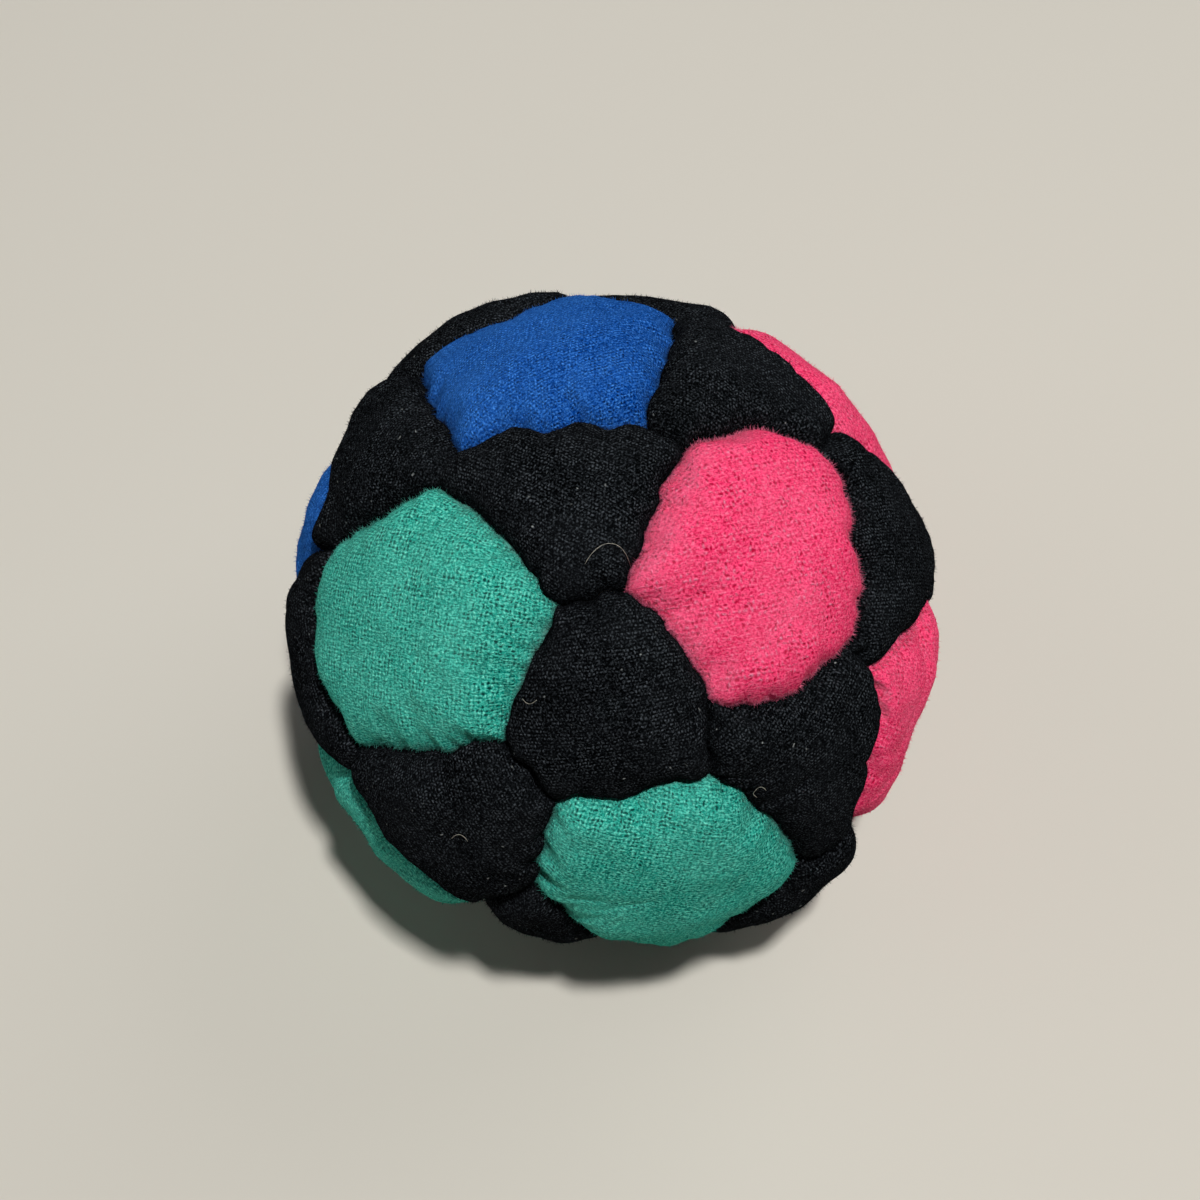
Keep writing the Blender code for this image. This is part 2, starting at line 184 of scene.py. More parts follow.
# A way that no stray fibre runs, from which the sides of its tube are laid out
TUBE_WAY = (0.3, 0.5, 0.8)

# Mesh: step along the seams, rows from the seam to the middle, and their crowding towards the seam
COLUMN_STEP = 0.3 * MM
ROWS = 26
ROW_CROWDING = 1.55
# Margin rows as shares of its depth, and the inner face's rows as shares from the seam to the middle
MARGIN_ROWS_share = (0.12, 0.35, 0.65, 1.0)
INNER_ROWS_share = (0.3, 0.5, 0.75)

# What keeps a division by a distance or a weight from failing where that is zero
TINY = 1e-9

# Pentagons, as a pole, two rings of five and the other pole of an icosahedron
PENTAGONS = (
    "green_1",
    "blue_1", "pink_1", "green_2", "green_3", "blue_2",
    "pink_2", "pink_3", "green_4", "blue_4", "blue_3",
    "pink_4",
)

# Where the photograph shows the seams' corners: (pentagon of the corner, pentagon it points to)
PHOTO_CORNERS = {
    ("green_1", "pink_1"): (558, 605), ("pink_1", "green_1"): (624, 592),
    ("green_1", "blue_1"): (443, 490), ("blue_1", "green_1"): (463, 456),
    ("green_1", "green_2"): (507, 741), ("green_2", "green_1"): (558, 797),
    ("green_1", "green_3"): (367, 743), ("green_3", "green_1"): (371, 771),
    ("green_1", "blue_2"): (341, 554), ("blue_2", "green_1"): (326, 553),
    ("blue_1", "blue_2"): (418, 380),
    ("pink_1", "blue_1"): (682, 457), ("blue_1", "pink_1"): (648, 431),
    ("blue_1", "pink_2"): (676, 330), ("pink_2", "blue_1"): (716, 341),
    ("pink_1", "pink_2"): (812, 457), ("pink_2", "pink_1"): (829, 436),
    ("pink_1", "pink_3"): (843, 642), ("pink_3", "pink_1"): (863, 667),
    ("pink_1", "green_2"): (709, 700), ("green_2", "pink_1"): (706, 773),
    ("green_2", "green_3"): (535, 876), ("green_3", "green_2"): (488, 885),
    ("green_2", "pink_3"): (793, 850), ("pink_3", "green_2"): (838, 812),
}

# Corners at and past the limb: their bearing round the bag's middle in the photograph, counterclockwise
# from its right, and their angle from the line of sight
LIMB_CORNERS = {
    ("green_2", "green_4"): (math.radians(-84), math.radians(96)),
    ("green_4", "green_2"): (math.radians(-83), math.radians(105)),
    ("blue_2", "blue_1"): (math.radians(143), math.radians(86)),
    ("blue_1", "blue_3"): (math.radians(97), math.radians(78)),
    ("blue_3", "blue_1"): (math.radians(98), math.radians(87)),
    ("pink_3", "pink_2"): (math.radians(5), math.radians(84)),
}

# Where the photograph shows the middles of the long seams: (pentagon, and the pentagons that its
# two corners point to)
PHOTO_SEAM_MIDDLES = {
    ("green_1", "blue_1", "pink_1"): (506, 541), ("green_1", "pink_1", "green_2"): (528, 673),
    ("green_1", "green_2", "green_3"): (435, 751), ("green_1", "blue_2", "blue_1"): (390, 514),
    ("pink_1", "green_1", "blue_1"): (649, 522), ("pink_1", "blue_1", "pink_2"): (751, 433),
    ("pink_1", "pink_2", "pink_3"): (848, 552), ("pink_1", "pink_3", "green_2"): (783, 694),
    ("pink_1", "green_2", "green_1"): (673, 635), ("blue_1", "green_1", "pink_1"): (555, 436),
    ("green_2", "green_1", "pink_1"): (634, 785), ("green_2", "green_3", "green_1"): (543, 838),
    ("green_2", "pink_1", "pink_3"): (755, 798), ("green_1", "green_3", "blue_2"): (330, 640),
    ("blue_2", "blue_1", "green_1"): (328, 484), ("pink_3", "pink_1", "green_2"): (855, 742),
}

# Edges of the coloured panels in the photograph, from corner to corner, under the same names
PHOTO_SEAM_EDGES = {
    ("blue_1", "green_1", "pink_1"): (
        (482, 450), (497, 440), (510, 435), (525, 436), (542, 441), (555, 437), (565, 431), (580, 426),
        (595, 429), (612, 430), (635, 427)),
    ("green_2", "green_1", "pink_1"): (
        (575, 790), (590, 792), (605, 795), (622, 794), (637, 792), (647, 786), (665, 781), (680, 777),
        (695, 777)),
    ("green_2", "pink_1", "pink_3"): ((725, 781), (737, 782), (745, 794), (755, 805), (770, 814)),
    ("green_2", "green_3", "green_1"): ((549, 819), (544, 825), (545, 842), (535, 852), (541, 865)),
    ("green_1", "pink_1", "green_2"): (
        (552, 625), (542, 642), (532, 660), (524, 682), (515, 700), (510, 720), (507, 735)),
    ("green_1", "green_2", "green_3"): (
        (490, 741), (475, 741), (465, 746), (452, 752), (430, 750), (405, 749), (387, 746)),
    ("green_1", "blue_1", "pink_1"): (
        (486, 520), (497, 531), (510, 544), (520, 556), (530, 569), (540, 580), (547, 595)),
    ("pink_1", "green_1", "blue_1"): (
        (630, 570), (640, 552), (647, 527), (657, 507), (661, 487), (667, 479)),
    ("pink_1", "green_2", "green_1"): (
        (637, 602), (657, 615), (670, 635), (680, 647), (692, 665), (702, 679)),
    ("pink_1", "pink_2", "pink_3"): (
        (832, 477), (840, 497), (847, 520), (846, 545), (855, 567), (859, 582), (855, 610), (850, 635)),
    ("pink_3", "pink_1", "green_2"): ((866, 690), (867, 705), (860, 727), (855, 745), (853, 762), (847, 780)),
}

# Creases: pixels of the photograph along each, with its depth and the reach of its sides
PHOTO_CREASES = {
    "pink_panel_3": (((909, 634), (909, 665), (908, 695), (900, 720), (888, 748)), 0.55 * MM, 0.9 * MM),
    "black_panel_06": (((810, 842), (830, 824), (843, 802), (852, 772), (856, 748)), 0.3 * MM, 0.6 * MM),
}
CREASE_STEPS = 80


# The seam ball


def unit(vectors):
    """The vectors of an array at length one."""
    return vectors / np.linalg.norm(vectors, axis=-1, keepdims=True)


def outward(directions):
    """The seam ball's outward normals in those directions."""
    return unit(directions / HALF_AXES)


def soft_floor(heights, level, rounding):
    """Heights held up at a level, with a rounded change."""
    return level + rounding * np.logaddexp(0, (heights - level) / rounding)


def seam_points(directions):
    """The points of the seam ball in those directions, held up by the table on the underside."""
    points = BALL_MIDDLE + directions * HALF_AXES
    points[..., 2] = soft_floor(points[..., 2], SEAM_LIFT, PRESS_ROUND)
    return points


def photo_axes():
    """The camera's axes: right, up and back."""
    up = Vector((0, math.sin(VIEW_ELEVATION), math.cos(VIEW_ELEVATION)))
    back = Vector((0, -math.cos(VIEW_ELEVATION), math.sin(VIEW_ELEVATION)))
    return Vector((1, 0, 0)), up, back


def photo_ray(pixel):
    """The way from the camera through a pixel of the photograph, one unit along its line of sight."""
    right, up, back = photo_axes()
    pixels_away = PHOTO_MIDDLE.x / math.tan(PHOTO_ANGLE / 2)
    across, down = (Vector(pixel) - PHOTO_MIDDLE) / pixels_away
    return right * across - up * down - back


def camera_share():
    """The camera's place from the ball's middle, in half widths of the seam ball."""
    return -photo_ray(PHOTO_BAG_MIDDLE) * VIEW_DISTANCE_share


def limb_direction(bearing, angle):
    """The direction at a bearing in the photograph and an angle from the line of sight."""
    right, up, back = photo_axes()
    across = right * math.cos(bearing) + up * math.sin(bearing)
    return back * math.cos(angle) + across * math.sin(angle)


def photo_direction(pixel):
    """The direction in which the camera sees the seam ball at a pixel of the photograph."""
    camera = Vector(np.array(camera_share()) / PHOTO_BALL_share)
    way = Vector(np.array(photo_ray(pixel)) / PHOTO_BALL_share)
    nearest = camera - way * (camera.dot(way) / way.length_squared)
    if nearest.length > LIMB_share:
        nearest = nearest.normalized() * LIMB_share
    depth = math.sqrt(1 - nearest.length_squared)
    return (nearest - way.normalized() * depth).normalized()


# The pattern of seams


def pentagon_middles():
    """Direction of each pentagon's middle, by name."""
    tilt = math.atan(1 / 2)
    middles = [Vector((0, 0, 1))]
    for ring in (0, 1):
        for place in range(5):
            turn = math.radians(90 - 72 * place - 36 * ring)
            height = math.sin(tilt) * (1 - 2 * ring)
            flat = math.cos(tilt)
            middles.append(Vector((flat * math.cos(turn), flat * math.sin(turn), height)))
    middles.append(Vector((0, 0, -1)))
    turned = PATTERN_TURN.to_matrix()
    return {name: turned @ middle for name, middle in zip(PENTAGONS, middles)}


def neighbours(name, middles):
    """The five pentagons nearest to this one, in order round it, seen from outside."""
    middle = middles[name]
    others = sorted(middles, key=lambda other: -middle.dot(middles[other]))[1:6]
    first = (middles[others[0]] - middle * middle.dot(middles[others[0]])).normalized()
    second = middle.cross(first)

    def turn(other):
        return math.atan2(middles[other].dot(second), middles[other].dot(first))

    return sorted(others, key=turn)


def corner_directions(middles):
    """Direction of each seam corner, at the photographed one or moved as those near it are."""
    even = {}
    for name in PENTAGONS:
        for other in neighbours(name, middles):
            way = PENTAGON_ANGLE / middles[name].angle(middles[other])
            even[name, other] = middles[name].slerp(middles[other], way)
    shown = {key: photo_direction(pixel) for key, pixel in PHOTO_CORNERS.items()}
    shown.update({key: limb_direction(*place) for key, place in LIMB_CORNERS.items()})
    shifts = {key: direction - even[key] for key, direction in shown.items()}
    wander = random.Random(SEWING_SEED)
    corners = {}
    for key, direction in even.items():
        shift = Vector([wander.uniform(-1, 1) for axis in range(3)]) * SEWING_WANDER_share
        weight = 1.0
        for other, other_shift in shifts.items():
            nearness = math.exp(-((direction - even[other]).length / SHIFT_REACH_share) ** 2) * SHIFT_PULL
            shift += other_shift * nearness
            weight += nearness
        shift = shifts.get(key, shift / weight)
        corners[key] = (direction + shift).normalized()
    return corners


class Seam:
    """A curved seam between two corners. Its stitches make it wave from side to side and dip."""

    def __init__(self, start, end, middle, seed, lean=0.0, range_share=(-1.0, 1.0), pixels=()):
        self.start, self.end = np.array(start), np.array(end)
        self.middle = np.array(middle or (start + end).normalized())
        self.lean = lean
        self.backwards = False
        self.length = float(np.linalg.norm(seam_points(self.end) - seam_points(self.start)))
        self.stitches = max(round(self.length / STITCH_PITCH), 2)
        draws = random.Random(seed)
        self.waves = np.array([draws.uniform(*range_share) for stitch in range(self.stitches)])
        self.dips = np.array([draws.uniform(*DIP_RANGE_share) for stitch in range(self.stitches + 1)])
        self.stray = draws.uniform(-STITCH_STRAY_share, STITCH_STRAY_share)
        self.sways = [draws.uniform(-SEAM_SWAY, SEAM_SWAY) for half_waves in SWAY_WAVES]
        self.shown = self.shown_offsets(pixels) if pixels else None

    def shown_offsets(self, pixels):
        """Shares of the seam's length, and how far left of the even curve the photograph shows it there."""
        shares = np.linspace(0, 1, SHOWN_STEPS + 1)
        points = seam_points(self.at(shares))
        ways_left = unit(np.cross(points - BALL_MIDDLE, np.gradient(points, axis=0)))
        offsets = [(0.0, 0.0), (1.0, 0.0)]
        for pixel in pixels:
            away = seam_points(np.array(photo_direction(pixel))) - points
            nearest = np.linalg.norm(away, axis=1).argmin()
            offsets.append((shares[nearest], away[nearest] @ ways_left[nearest]))
        return np.array(offsets).T

    def reversed(self):
        """The same seam from its end to its start."""
        turned = object.__new__(Seam)
        turned.__dict__.update(self.__dict__)
        turned.start, turned.end = self.end, self.start
        turned.backwards = not self.backwards
        turned.lean = -self.lean
        return turned

    def at(self, shares):
        """Directions at shares of the seam's length."""
        share = np.asarray(shares, float)[..., None]
        points = (
            self.start * ((1 - share) * (1 - 2 * share))
            + self.middle * (4 * share * (1 - share))
            + self.end * (share * (2 * share - 1))
        )
        return unit(points)

    def stitch_places(self, shares):
        """Shares as numbers of stitches along the seam, from the end that the stitches count from."""
        shares = np.clip(1 - shares if self.backwards else shares, 0, 1)
        return (shares + self.stray * np.sin(2 * np.pi * shares)) * self.stitches

    def wave(self, shares):
        """How far the seam lies over to the left there."""
        places = self.stitch_places(shares)
        between = np.minimum(places.astype(int), self.stitches - 1)
        bulge = np.abs(np.sin(np.pi * (places - between))) ** WAVE_POWER
        wave = self.waves[between] * bulge * STITCH_WAVE
        if self.shown is None:
            for sway, half_waves in zip(self.sways, SWAY_WAVES):
                wave = wave + sway * np.sin(np.pi * half_waves * places / self.stitches)
        else:
            along = np.clip(1 - shares if self.backwards else shares, 0, 1)
            weight = np.exp(-((along[:, None] - self.shown[0]) / SHOWN_REACH_share) ** 2) + TINY
            wave = wave * SHOWN_WAVE_share + weight @ self.shown[1] / weight.sum(1)
        return -wave if self.backwards else wave

    def dip(self, shares):
        """How far the nearest stitch pulls the suede down there."""
        places = self.stitch_places(shares)
        nearest = np.rint(places).astype(int)
        return self.dips[nearest] * np.cos(np.pi * (places - nearest)) ** 2 * STITCH_DIP


def shown(table, name, this, following):
    """What a table of the photograph has of a long seam, under either order of its two neighbours."""
    return table.get((name, this, following)) or table.get((name, following, this))


def all_seams(middles, corners):
    """Long seams by (pentagon, neighbour, next neighbour), and short ones by (pentagon, neighbour)."""
    seams = {}
    for name in PENTAGONS:
        around = neighbours(name, middles)
        for this, following in zip(around, around[1:] + around[:1]):
            pixel = shown(PHOTO_SEAM_MIDDLES, name, this, following)
            middle = photo_direction(pixel) if pixel else None
            edge = shown(PHOTO_SEAM_EDGES, name, this, following)
            seams[name, this, following] = Seam(corners[name, this], corners[name, following], middle,
                                                len(seams), -LEAN_share, SCALLOP_RANGE_share, edge)
            if (name, this) not in seams:
                seams[name, this] = Seam(corners[name, this], corners[this, name], None, len(seams))
                seams[this, name] = seams[name, this].reversed()
    return seams


def pentagon_sides(name, middles, seams):
    """The five seams round a pentagon, in order."""
    around = neighbours(name, middles)
    return [seams[name, this, after] for this, after in zip(around, around[1:] + around[:1])]


def hexagons(middles):
    """The twenty triples of pentagons that meet round a hexagon, top ones first."""
    found = []
    for name in PENTAGONS:
        around = neighbours(name, middles)
        for this, following in zip(around, around[1:] + around[:1]):
            if name == min(name, this, following):
                found.append((name, this, following))

    def height(triple):
        return sum((middles[name] for name in triple), Vector()).z

    return sorted(found, key=height, reverse=True)


def hexagon_sides(triple, seams):
    """The six seams round a hexagon, in order: its long sides run backwards along the pentagons."""
    sides = []
    for first, second, third in (triple, triple[1:] + triple[:1], triple[2:] + triple[:2]):
        sides.append(seams[first, second])
        sides.append(seams[second, third, first].reversed())
    return sides


# Panels


def seam_frames(seam, shares):
    """A seam's points, the ways up out of the bag there, and the ways in over the panel on its left."""
    points = seam_points(seam.at(shares))
    up = unit(points - BALL_MIDDLE)
    step = SEAM_STEP_share
    ahead = seam_points(seam.at(shares + step)) - seam_points(seam.at(shares - step))
    return points, up, unit(np.cross(up, ahead))


def lumps(points):
    """Height of the sand's lumps at points, from waves that run all ways."""
    draws = np.random.default_rng(LUMP_SEED)
    height = np.zeros(points.shape[:-1])
    for length, rise in LUMPS:
        for wave in range(LUMP_WAVES):
            way = unit(draws.normal(size=3)) * 2 * np.pi / length
            height += np.sin(points @ way + draws.uniform(0, 2 * np.pi)) * rise / math.sqrt(LUMP_WAVES / 2)
    return height


def spline_weights(share):
    """Weights of four values in a row, for a smooth curve at a share of the way between the middle two."""
    return np.array((
        (1 - share) ** 3,
        3 * share ** 3 - 6 * share ** 2 + 4,
        -3 * share ** 3 + 3 * share ** 2 + 3 * share + 1,
        share ** 3,
    )) / 6


def crease_line(pixels):
    """Points of the seam ball along a photographed crease."""
    shares = np.linspace(0, len(pixels) - 1, CREASE_STEPS)
    across, down = (np.interp(shares, range(len(pixels)), values) for values in zip(*pixels))
    return seam_points(np.array([photo_direction(pixel) for pixel in zip(across, down)]))


class Panel:
    """One panel's surface. Its columns stand on its seams, and its rows run in to its middle."""

    def __init__(self, sides, rise, tilt, draws):
        self.rise = rise * draws.uniform(1 - RISE_SPREAD_share, 1 + RISE_SPREAD_share)
        random_tilt = draws.uniform(0, math.pi)
        self.knit_tilt = random_tilt if tilt is None else tilt
        self.middle = unit(sum(side.start + side.middle for side in sides))
        parts = []
        for number, side in enumerate(sides):
            count = max(round(side.length / COLUMN_STEP), 4)
            shares = np.arange(count) / count
            side_points, side_ups, side_ways = seam_frames(side, shares)
            before = seam_frames(sides[number - 1], np.array([1.0]))[2][0]
            side_ways[0] = (side_ways[0] + before) / (1 + side_ways[0] @ before)
            lean = side.lean * np.sin(np.pi * shares) ** 0.5
            parts.append((side_points, side_ups, side_ways, side.wave(shares), side.dip(shares), lean,
                          side.at(shares), np.full(count, number)))
        columns = [np.concatenate(part) for part in zip(*parts)]
        self.seam, self.up, self.way_in, self.wave, self.dip, self.lean = columns[:6]
        self.direction, self.side_of = columns[6:]
        self.sides = len(sides)
        self.depth_at_middle = self.seam_distance(seam_points(self.middle)[None])[0]
        self.moves = None
        self.crease = None

    def crease_depth(self, points):
        """Depth of the panel's crease at points of the seam ball."""
        if self.crease is None:
            return 0
        line, depth, reach = self.crease
        nearest = np.linalg.norm(points[:, None] - line, axis=-1).min(-1)
        return depth * np.exp(-(nearest / reach) ** 2)

    def seam_distance(self, points):
        """Distance of points to the seams: to the nearest one beside it, less where more are near."""
        total = 0
        for side in range(self.sides):
            line = self.seam[self.side_of == side]
            line = np.concatenate([line, self.seam[self.side_of == (side + 1) % self.sides][:1]])
            start, run = line[:-1], line[1:] - line[:-1]
            away = points[:, None] - start
            share = np.clip((away * run).sum(-1) / (run * run).sum(-1), 0, 1)
            nearest = np.linalg.norm(away - run * share[..., None], axis=-1).min(-1)
            total = total + np.maximum(nearest, TINY) ** -NEAREST_POWER
        return total ** (-1 / NEAREST_POWER)

    def crown_height(self, distance):
        """Height of the crown over the seam ball at a distance from the seams."""
        out = 1 - np.minimum(distance / self.depth_at_middle, 1)
        return self.rise * (1 - out ** CROWN_RUN_POWER) ** (1 / CROWN_RISE_POWER)

    def crown(self, inward, under=0.0):
        """A ring of the outer face, or of a face that lies this far under it."""
        direction = unit(self.direction * (1 - inward) + self.middle * inward)
        base = seam_points(direction)
        distance = self.seam_distance(base)
        height = self.crown_height(distance)
        across = np.linalg.norm(base - self.seam, axis=-1)
        wave = self.wave * np.exp(-(across / WAVE_REACH) ** 2)
        lean = self.lean * height * np.exp(-(across / LEAN_REACH) ** 2)
        dip = self.dip * np.exp(-across / DIP_REACH) * np.minimum(height / STITCH_DIP, 1)
        lump = (lumps(base) - self.crease_depth(base)) * height / self.rise
        gap = SEAM_GAP / 2 * (1 - inward)
        sideways = self.way_in * (wave + gap - lean)[:, None]
        points = base + outward(direction) * (height - dip + lump - under)[:, None] + sideways
        if self.moves is not None:
            points += self.fold(inward)
        points[:, 2] = soft_floor(points[:, 2] - under, 0, TABLE_ROUND) + under
        return points

    def cage(self):
        """The coarse cage of the outer face, as rings from the seams to the middle."""
        shares = (np.arange(CLOTH_ROWS + 1) / CLOTH_ROWS) ** CLOTH_CROWDING
        return np.stack([self.crown(share)[::CLOTH_COLUMNS] for share in shares])

    def fold(self, inward):
        """How far the cloth has moved each column of a ring, smoothly between the cage's points."""
        row = CLOTH_ROWS * inward ** (1 / CLOTH_CROWDING)
        first = min(int(row), CLOTH_ROWS - 1)
        before = 2 * self.moves[:1] - self.moves[1:2]
        after = 2 * self.moves[-1:] - self.moves[-2:-1]
        rows = np.concatenate([before, self.moves, after])[first:first + 4]
        ring = np.tensordot(spline_weights(row - first), rows, 1)
        columns = self.moves.shape[1]
        places = np.arange(len(self.seam)) * columns / len(self.seam)
        start = places.astype(int)
        near = np.stack([ring[(start + step) % columns] for step in (-1, 0, 1, 2)])
        return (spline_weights(places - start)[..., None] * near).sum(0)

    def margin(self, share, inward):
        """A ring of the turned-in margin at a share of its depth, this far in from its outer face."""
        width = self.wave + SEAM_GAP / 2 + MARGIN_SPREAD * share + inward
        return self.seam + self.way_in * width[:, None] - self.up * MARGIN * share

    def rings(self):
        """All rings of the closed sheet, from the middle of its outer face to that of its inner one."""
        outer = [self.crown((row / ROWS) ** ROW_CROWDING) for row in reversed(range(1, ROWS))]
        seam = [self.crown(0.0)]
        margin = [self.margin(share, 0.0) for share in MARGIN_ROWS_share]
        back = [self.margin(share, SUEDE_THICKNESS) for share in reversed(MARGIN_ROWS_share[1:])]
        inner = [self.crown(share, SUEDE_THICKNESS) for share in INNER_ROWS_share]
        return outer + seam + margin + back + inner

    def flat(self, first, rings, last):
        """Each point's place on the flat panel, by its bearing and its length along the surface."""
        points = np.concatenate([first, *rings, last])
        right, up, back = photo_axes()
        row = np.array(right * math.cos(self.knit_tilt) + up * math.sin(self.knit_tilt))
        second = unit(np.cross(self.middle, row))
        first_axis = np.cross(second, self.middle)
        away = unit(points - BALL_MIDDLE) - unit(first - BALL_MIDDLE)
        turn = np.arctan2(away @ second, away @ first_axis)
        steps = np.diff(np.stack([np.broadcast_to(first[0], rings[0].shape), *rings]), axis=0)
        lengths = np.linalg.norm(steps, axis=-1).cumsum(0).ravel()
        reach = np.concatenate([[0], lengths, lengths[-1:]])
        return np.stack([np.cos(turn), np.sin(turn)], -1) * reach[:, None]


def all_panels():
    """Every panel by its node's name."""
    middles = pentagon_middles()
    seams = all_seams(middles, corner_directions(middles))
    draws = random.Random(SEWING_SEED)
    panels = {}
    for name in PENTAGONS:
        node = name.replace("_", "_panel_")
        rise = COLOUR_RISE * PANEL_RISE_share.get(node, 1)
        panels[node] = Panel(pentagon_sides(name, middles, seams), rise, KNIT_TILT.get(node), draws)
    for number, triple in enumerate(hexagons(middles), start=1):
        node = f"black_panel_{number:02d}"
        rise = BLACK_RISE * PANEL_RISE_share.get(node, 1)
        panels[node] = Panel(hexagon_sides(triple, seams), rise, KNIT_TILT.get(node), draws)
    return panels


def placed(name, data):
    """A new object of the scene that shows this data."""
    thing = bpy.data.objects.new(name, data)
    bpy.context.scene.collection.objects.link(thing)
    return thing


def cage_mesh(cages):
    """One mesh of all panels' cages, and the vertices at their seams."""
    points, faces, pins = [], [], []
    for cage in cages:
        start = len(points)
        rows, columns = len(cage) - 1, cage.shape[1]
        points += (cage[:-1].reshape(-1, 3) * CLOTH_SCALE).tolist()
        points.append((cage[-1, 0] * CLOTH_SCALE).tolist())
        pins += range(start, start + columns)
        for column in range(columns):
            after = (column + 1) % columns
            for row in range(rows - 1):
                near, far = start + row * columns, start + (row + 1) * columns
                faces.append((near + column, near + after, far + after, far + column))
            faces.append((far + column, far + after, start + rows * columns))
    mesh = bpy.data.meshes.new("cloth_cages")
    mesh.from_pydata(points, [], faces)
    return mesh, pins


def blow_up(panels):
    """Fills the panels' outer faces by cloth simulation, and keeps the folds that this makes in them."""
    cages = [panel.cage() for panel in panels.values()]
    mesh, pins = cage_mesh(cages)
    sheet = placed("cloth_cages", mesh)
    scene = bpy.context.scene
    sheet.vertex_groups.new(name="seams").add(pins, 1.0, "REPLACE")
    modifier = sheet.modifiers.new("cloth", "CLOTH")
    cloth = modifier.settings
    cloth.vertex_group_mass = "seams"
    cloth.effector_weights.gravity = 0
    cloth.use_pressure = True
    cloth.uniform_pressure_force = CLOTH_PRESSURE
    cloth.shrink_min = cloth.shrink_max = -CLOTH_SPARE_share
    cloth.tension_stiffness = cloth.compression_stiffness = cloth.shear_stiffness = CLOTH_STIFFNESS
    cloth.bending_stiffness = CLOTH_BENDING
    modifier.collision_settings.use_collision = False
    for number in range(1, CLOTH_FRAMES + 1):
        scene.frame_set(number)
    filled = sheet.evaluated_get(bpy.context.evaluated_depsgraph_get()).data
    points = np.zeros(len(mesh.vertices) * 3)
    filled.vertices.foreach_get("co", points)
    points = points.reshape(-1, 3) / CLOTH_SCALE
    scene.frame_set(1)
    bpy.data.objects.remove(sheet)
    bpy.data.meshes.remove(mesh)
    start = 0
    for panel, cage in zip(panels.values(), cages):
        rows, columns = len(cage) - 1, cage.shape[1]
        count = rows * columns
        middle = np.broadcast_to(points[start + count], (1, columns, 3))
        moved = np.concatenate([points[start:start + count].reshape(rows, columns, 3), middle]) - cage
        start += count + 1
        out = outward(unit(cage - BALL_MIDDLE))
        rise = (moved * out).sum(-1, keepdims=True)
        moved = moved - out * rise.mean(1, keepdims=True)
        size = np.maximum(np.linalg.norm(moved, axis=-1, keepdims=True), CLOTH_STILL)
        panel.moves = moved * np.tanh(size / CLOTH_CAP) * CLOTH_CAP / size


def frame_shift(panels):
    """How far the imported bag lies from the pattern's own place, from the box of its thread."""
    seams = np.concatenate([panel.seam - panel.up * (THREAD_DEPTH - THREAD_DIAMETER / 2)
                            for panel in panels.values()])
    low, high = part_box("seam_thread")
    packed = (np.array(low) + np.array(high)) / 2
    shift = packed - (seams.min(0) + seams.max(0)) / 2
    return np.array((shift[0], shift[1], 0))


# Meshes


def fibre_roots(rings, flat, count, draws):
    """Random places on the surface that the rings span: points, the surface's ways up, and flat places."""
    near, far = rings[:-1], rings[1:]
    across, down = np.roll(near, -1, 1) - near, far - near
    normal = np.cross(down, across)
    area = np.linalg.norm(normal, axis=-1)
    cells = draws.choice(area.size, count, p=area.ravel() / area.sum())
    row, column = np.unravel_index(cells, area.shape)
    after = (column + 1) % rings.shape[1]
    in_row, in_column = draws.random((2, count, 1))
    places = []
    for grid in (rings, flat):
        start = grid[row, column] * (1 - in_column) + grid[row, after] * in_column
        end = grid[row + 1, column] * (1 - in_column) + grid[row + 1, after] * in_column
        places.append(start * (1 - in_row) + end * in_row)
    return places[0], unit(normal[row, column]), places[1]


def fibre_points(roots, ways_up, lengths, draws):
    """Each fibre's four points: three round its root and its tip."""
    count = len(roots)
    way = unit(ways_up + draws.normal(size=(count, 3)) * FIBRE_LEAN_share / math.sqrt(3))
    first = unit(np.cross(way, draws.normal(size=(count, 3))))
    second = np.cross(way, first)
    corners = []
    for turn in np.arange(3) * 2 * np.pi / 3:
        corners.append(roots + (first * np.cos(turn) + second * np.sin(turn)) * FIBRE_THICKNESS / 2)
    long = draws.uniform(*lengths, (count, 1))
    points = np.stack([*corners, roots + way * long], axis=1)
    points[..., 2] = np.maximum(points[..., 2], FLOOR_CLEARANCE)
    return points.reshape(-1, 3)


def panel_fibres(panel, rings, flat, colour, draws):
    """The fibres of a panel: their points, flat places and how near a seam each is."""
    outer, flat = np.stack(rings[:ROWS]), flat[1:1 + ROWS * len(panel.seam)].reshape(ROWS, -1, 2)
    edges = np.linalg.norm(np.roll(panel.seam, -1, 0) - panel.seam, axis=-1).sum()
    around = np.cross(np.roll(outer, -1, 1)[:-1] - outer[:-1], outer[1:] - outer[:-1])
    area = np.linalg.norm(around, axis=-1).sum()
    parts = []
    for first_row, count, lengths, near in (
        (0, area * NAP_FIBRES, NAP_FIBRE_LENGTHS, 0.0),
        (ROWS - RIM_ROWS, edges * RIM_FIBRES[colour], RIM_FIBRE_LENGTHS, RIM_NEARNESS_share),
    ):
        roots, ways_up, places = fibre_roots(outer[first_row:], flat[first_row:], int(count), draws)
        points = fibre_points(roots, ways_up, lengths, draws)
        parts.append((points, np.repeat(places, 4, axis=0), np.full(len(points), near)))
    return [np.concatenate(part) for part in zip(*parts)]


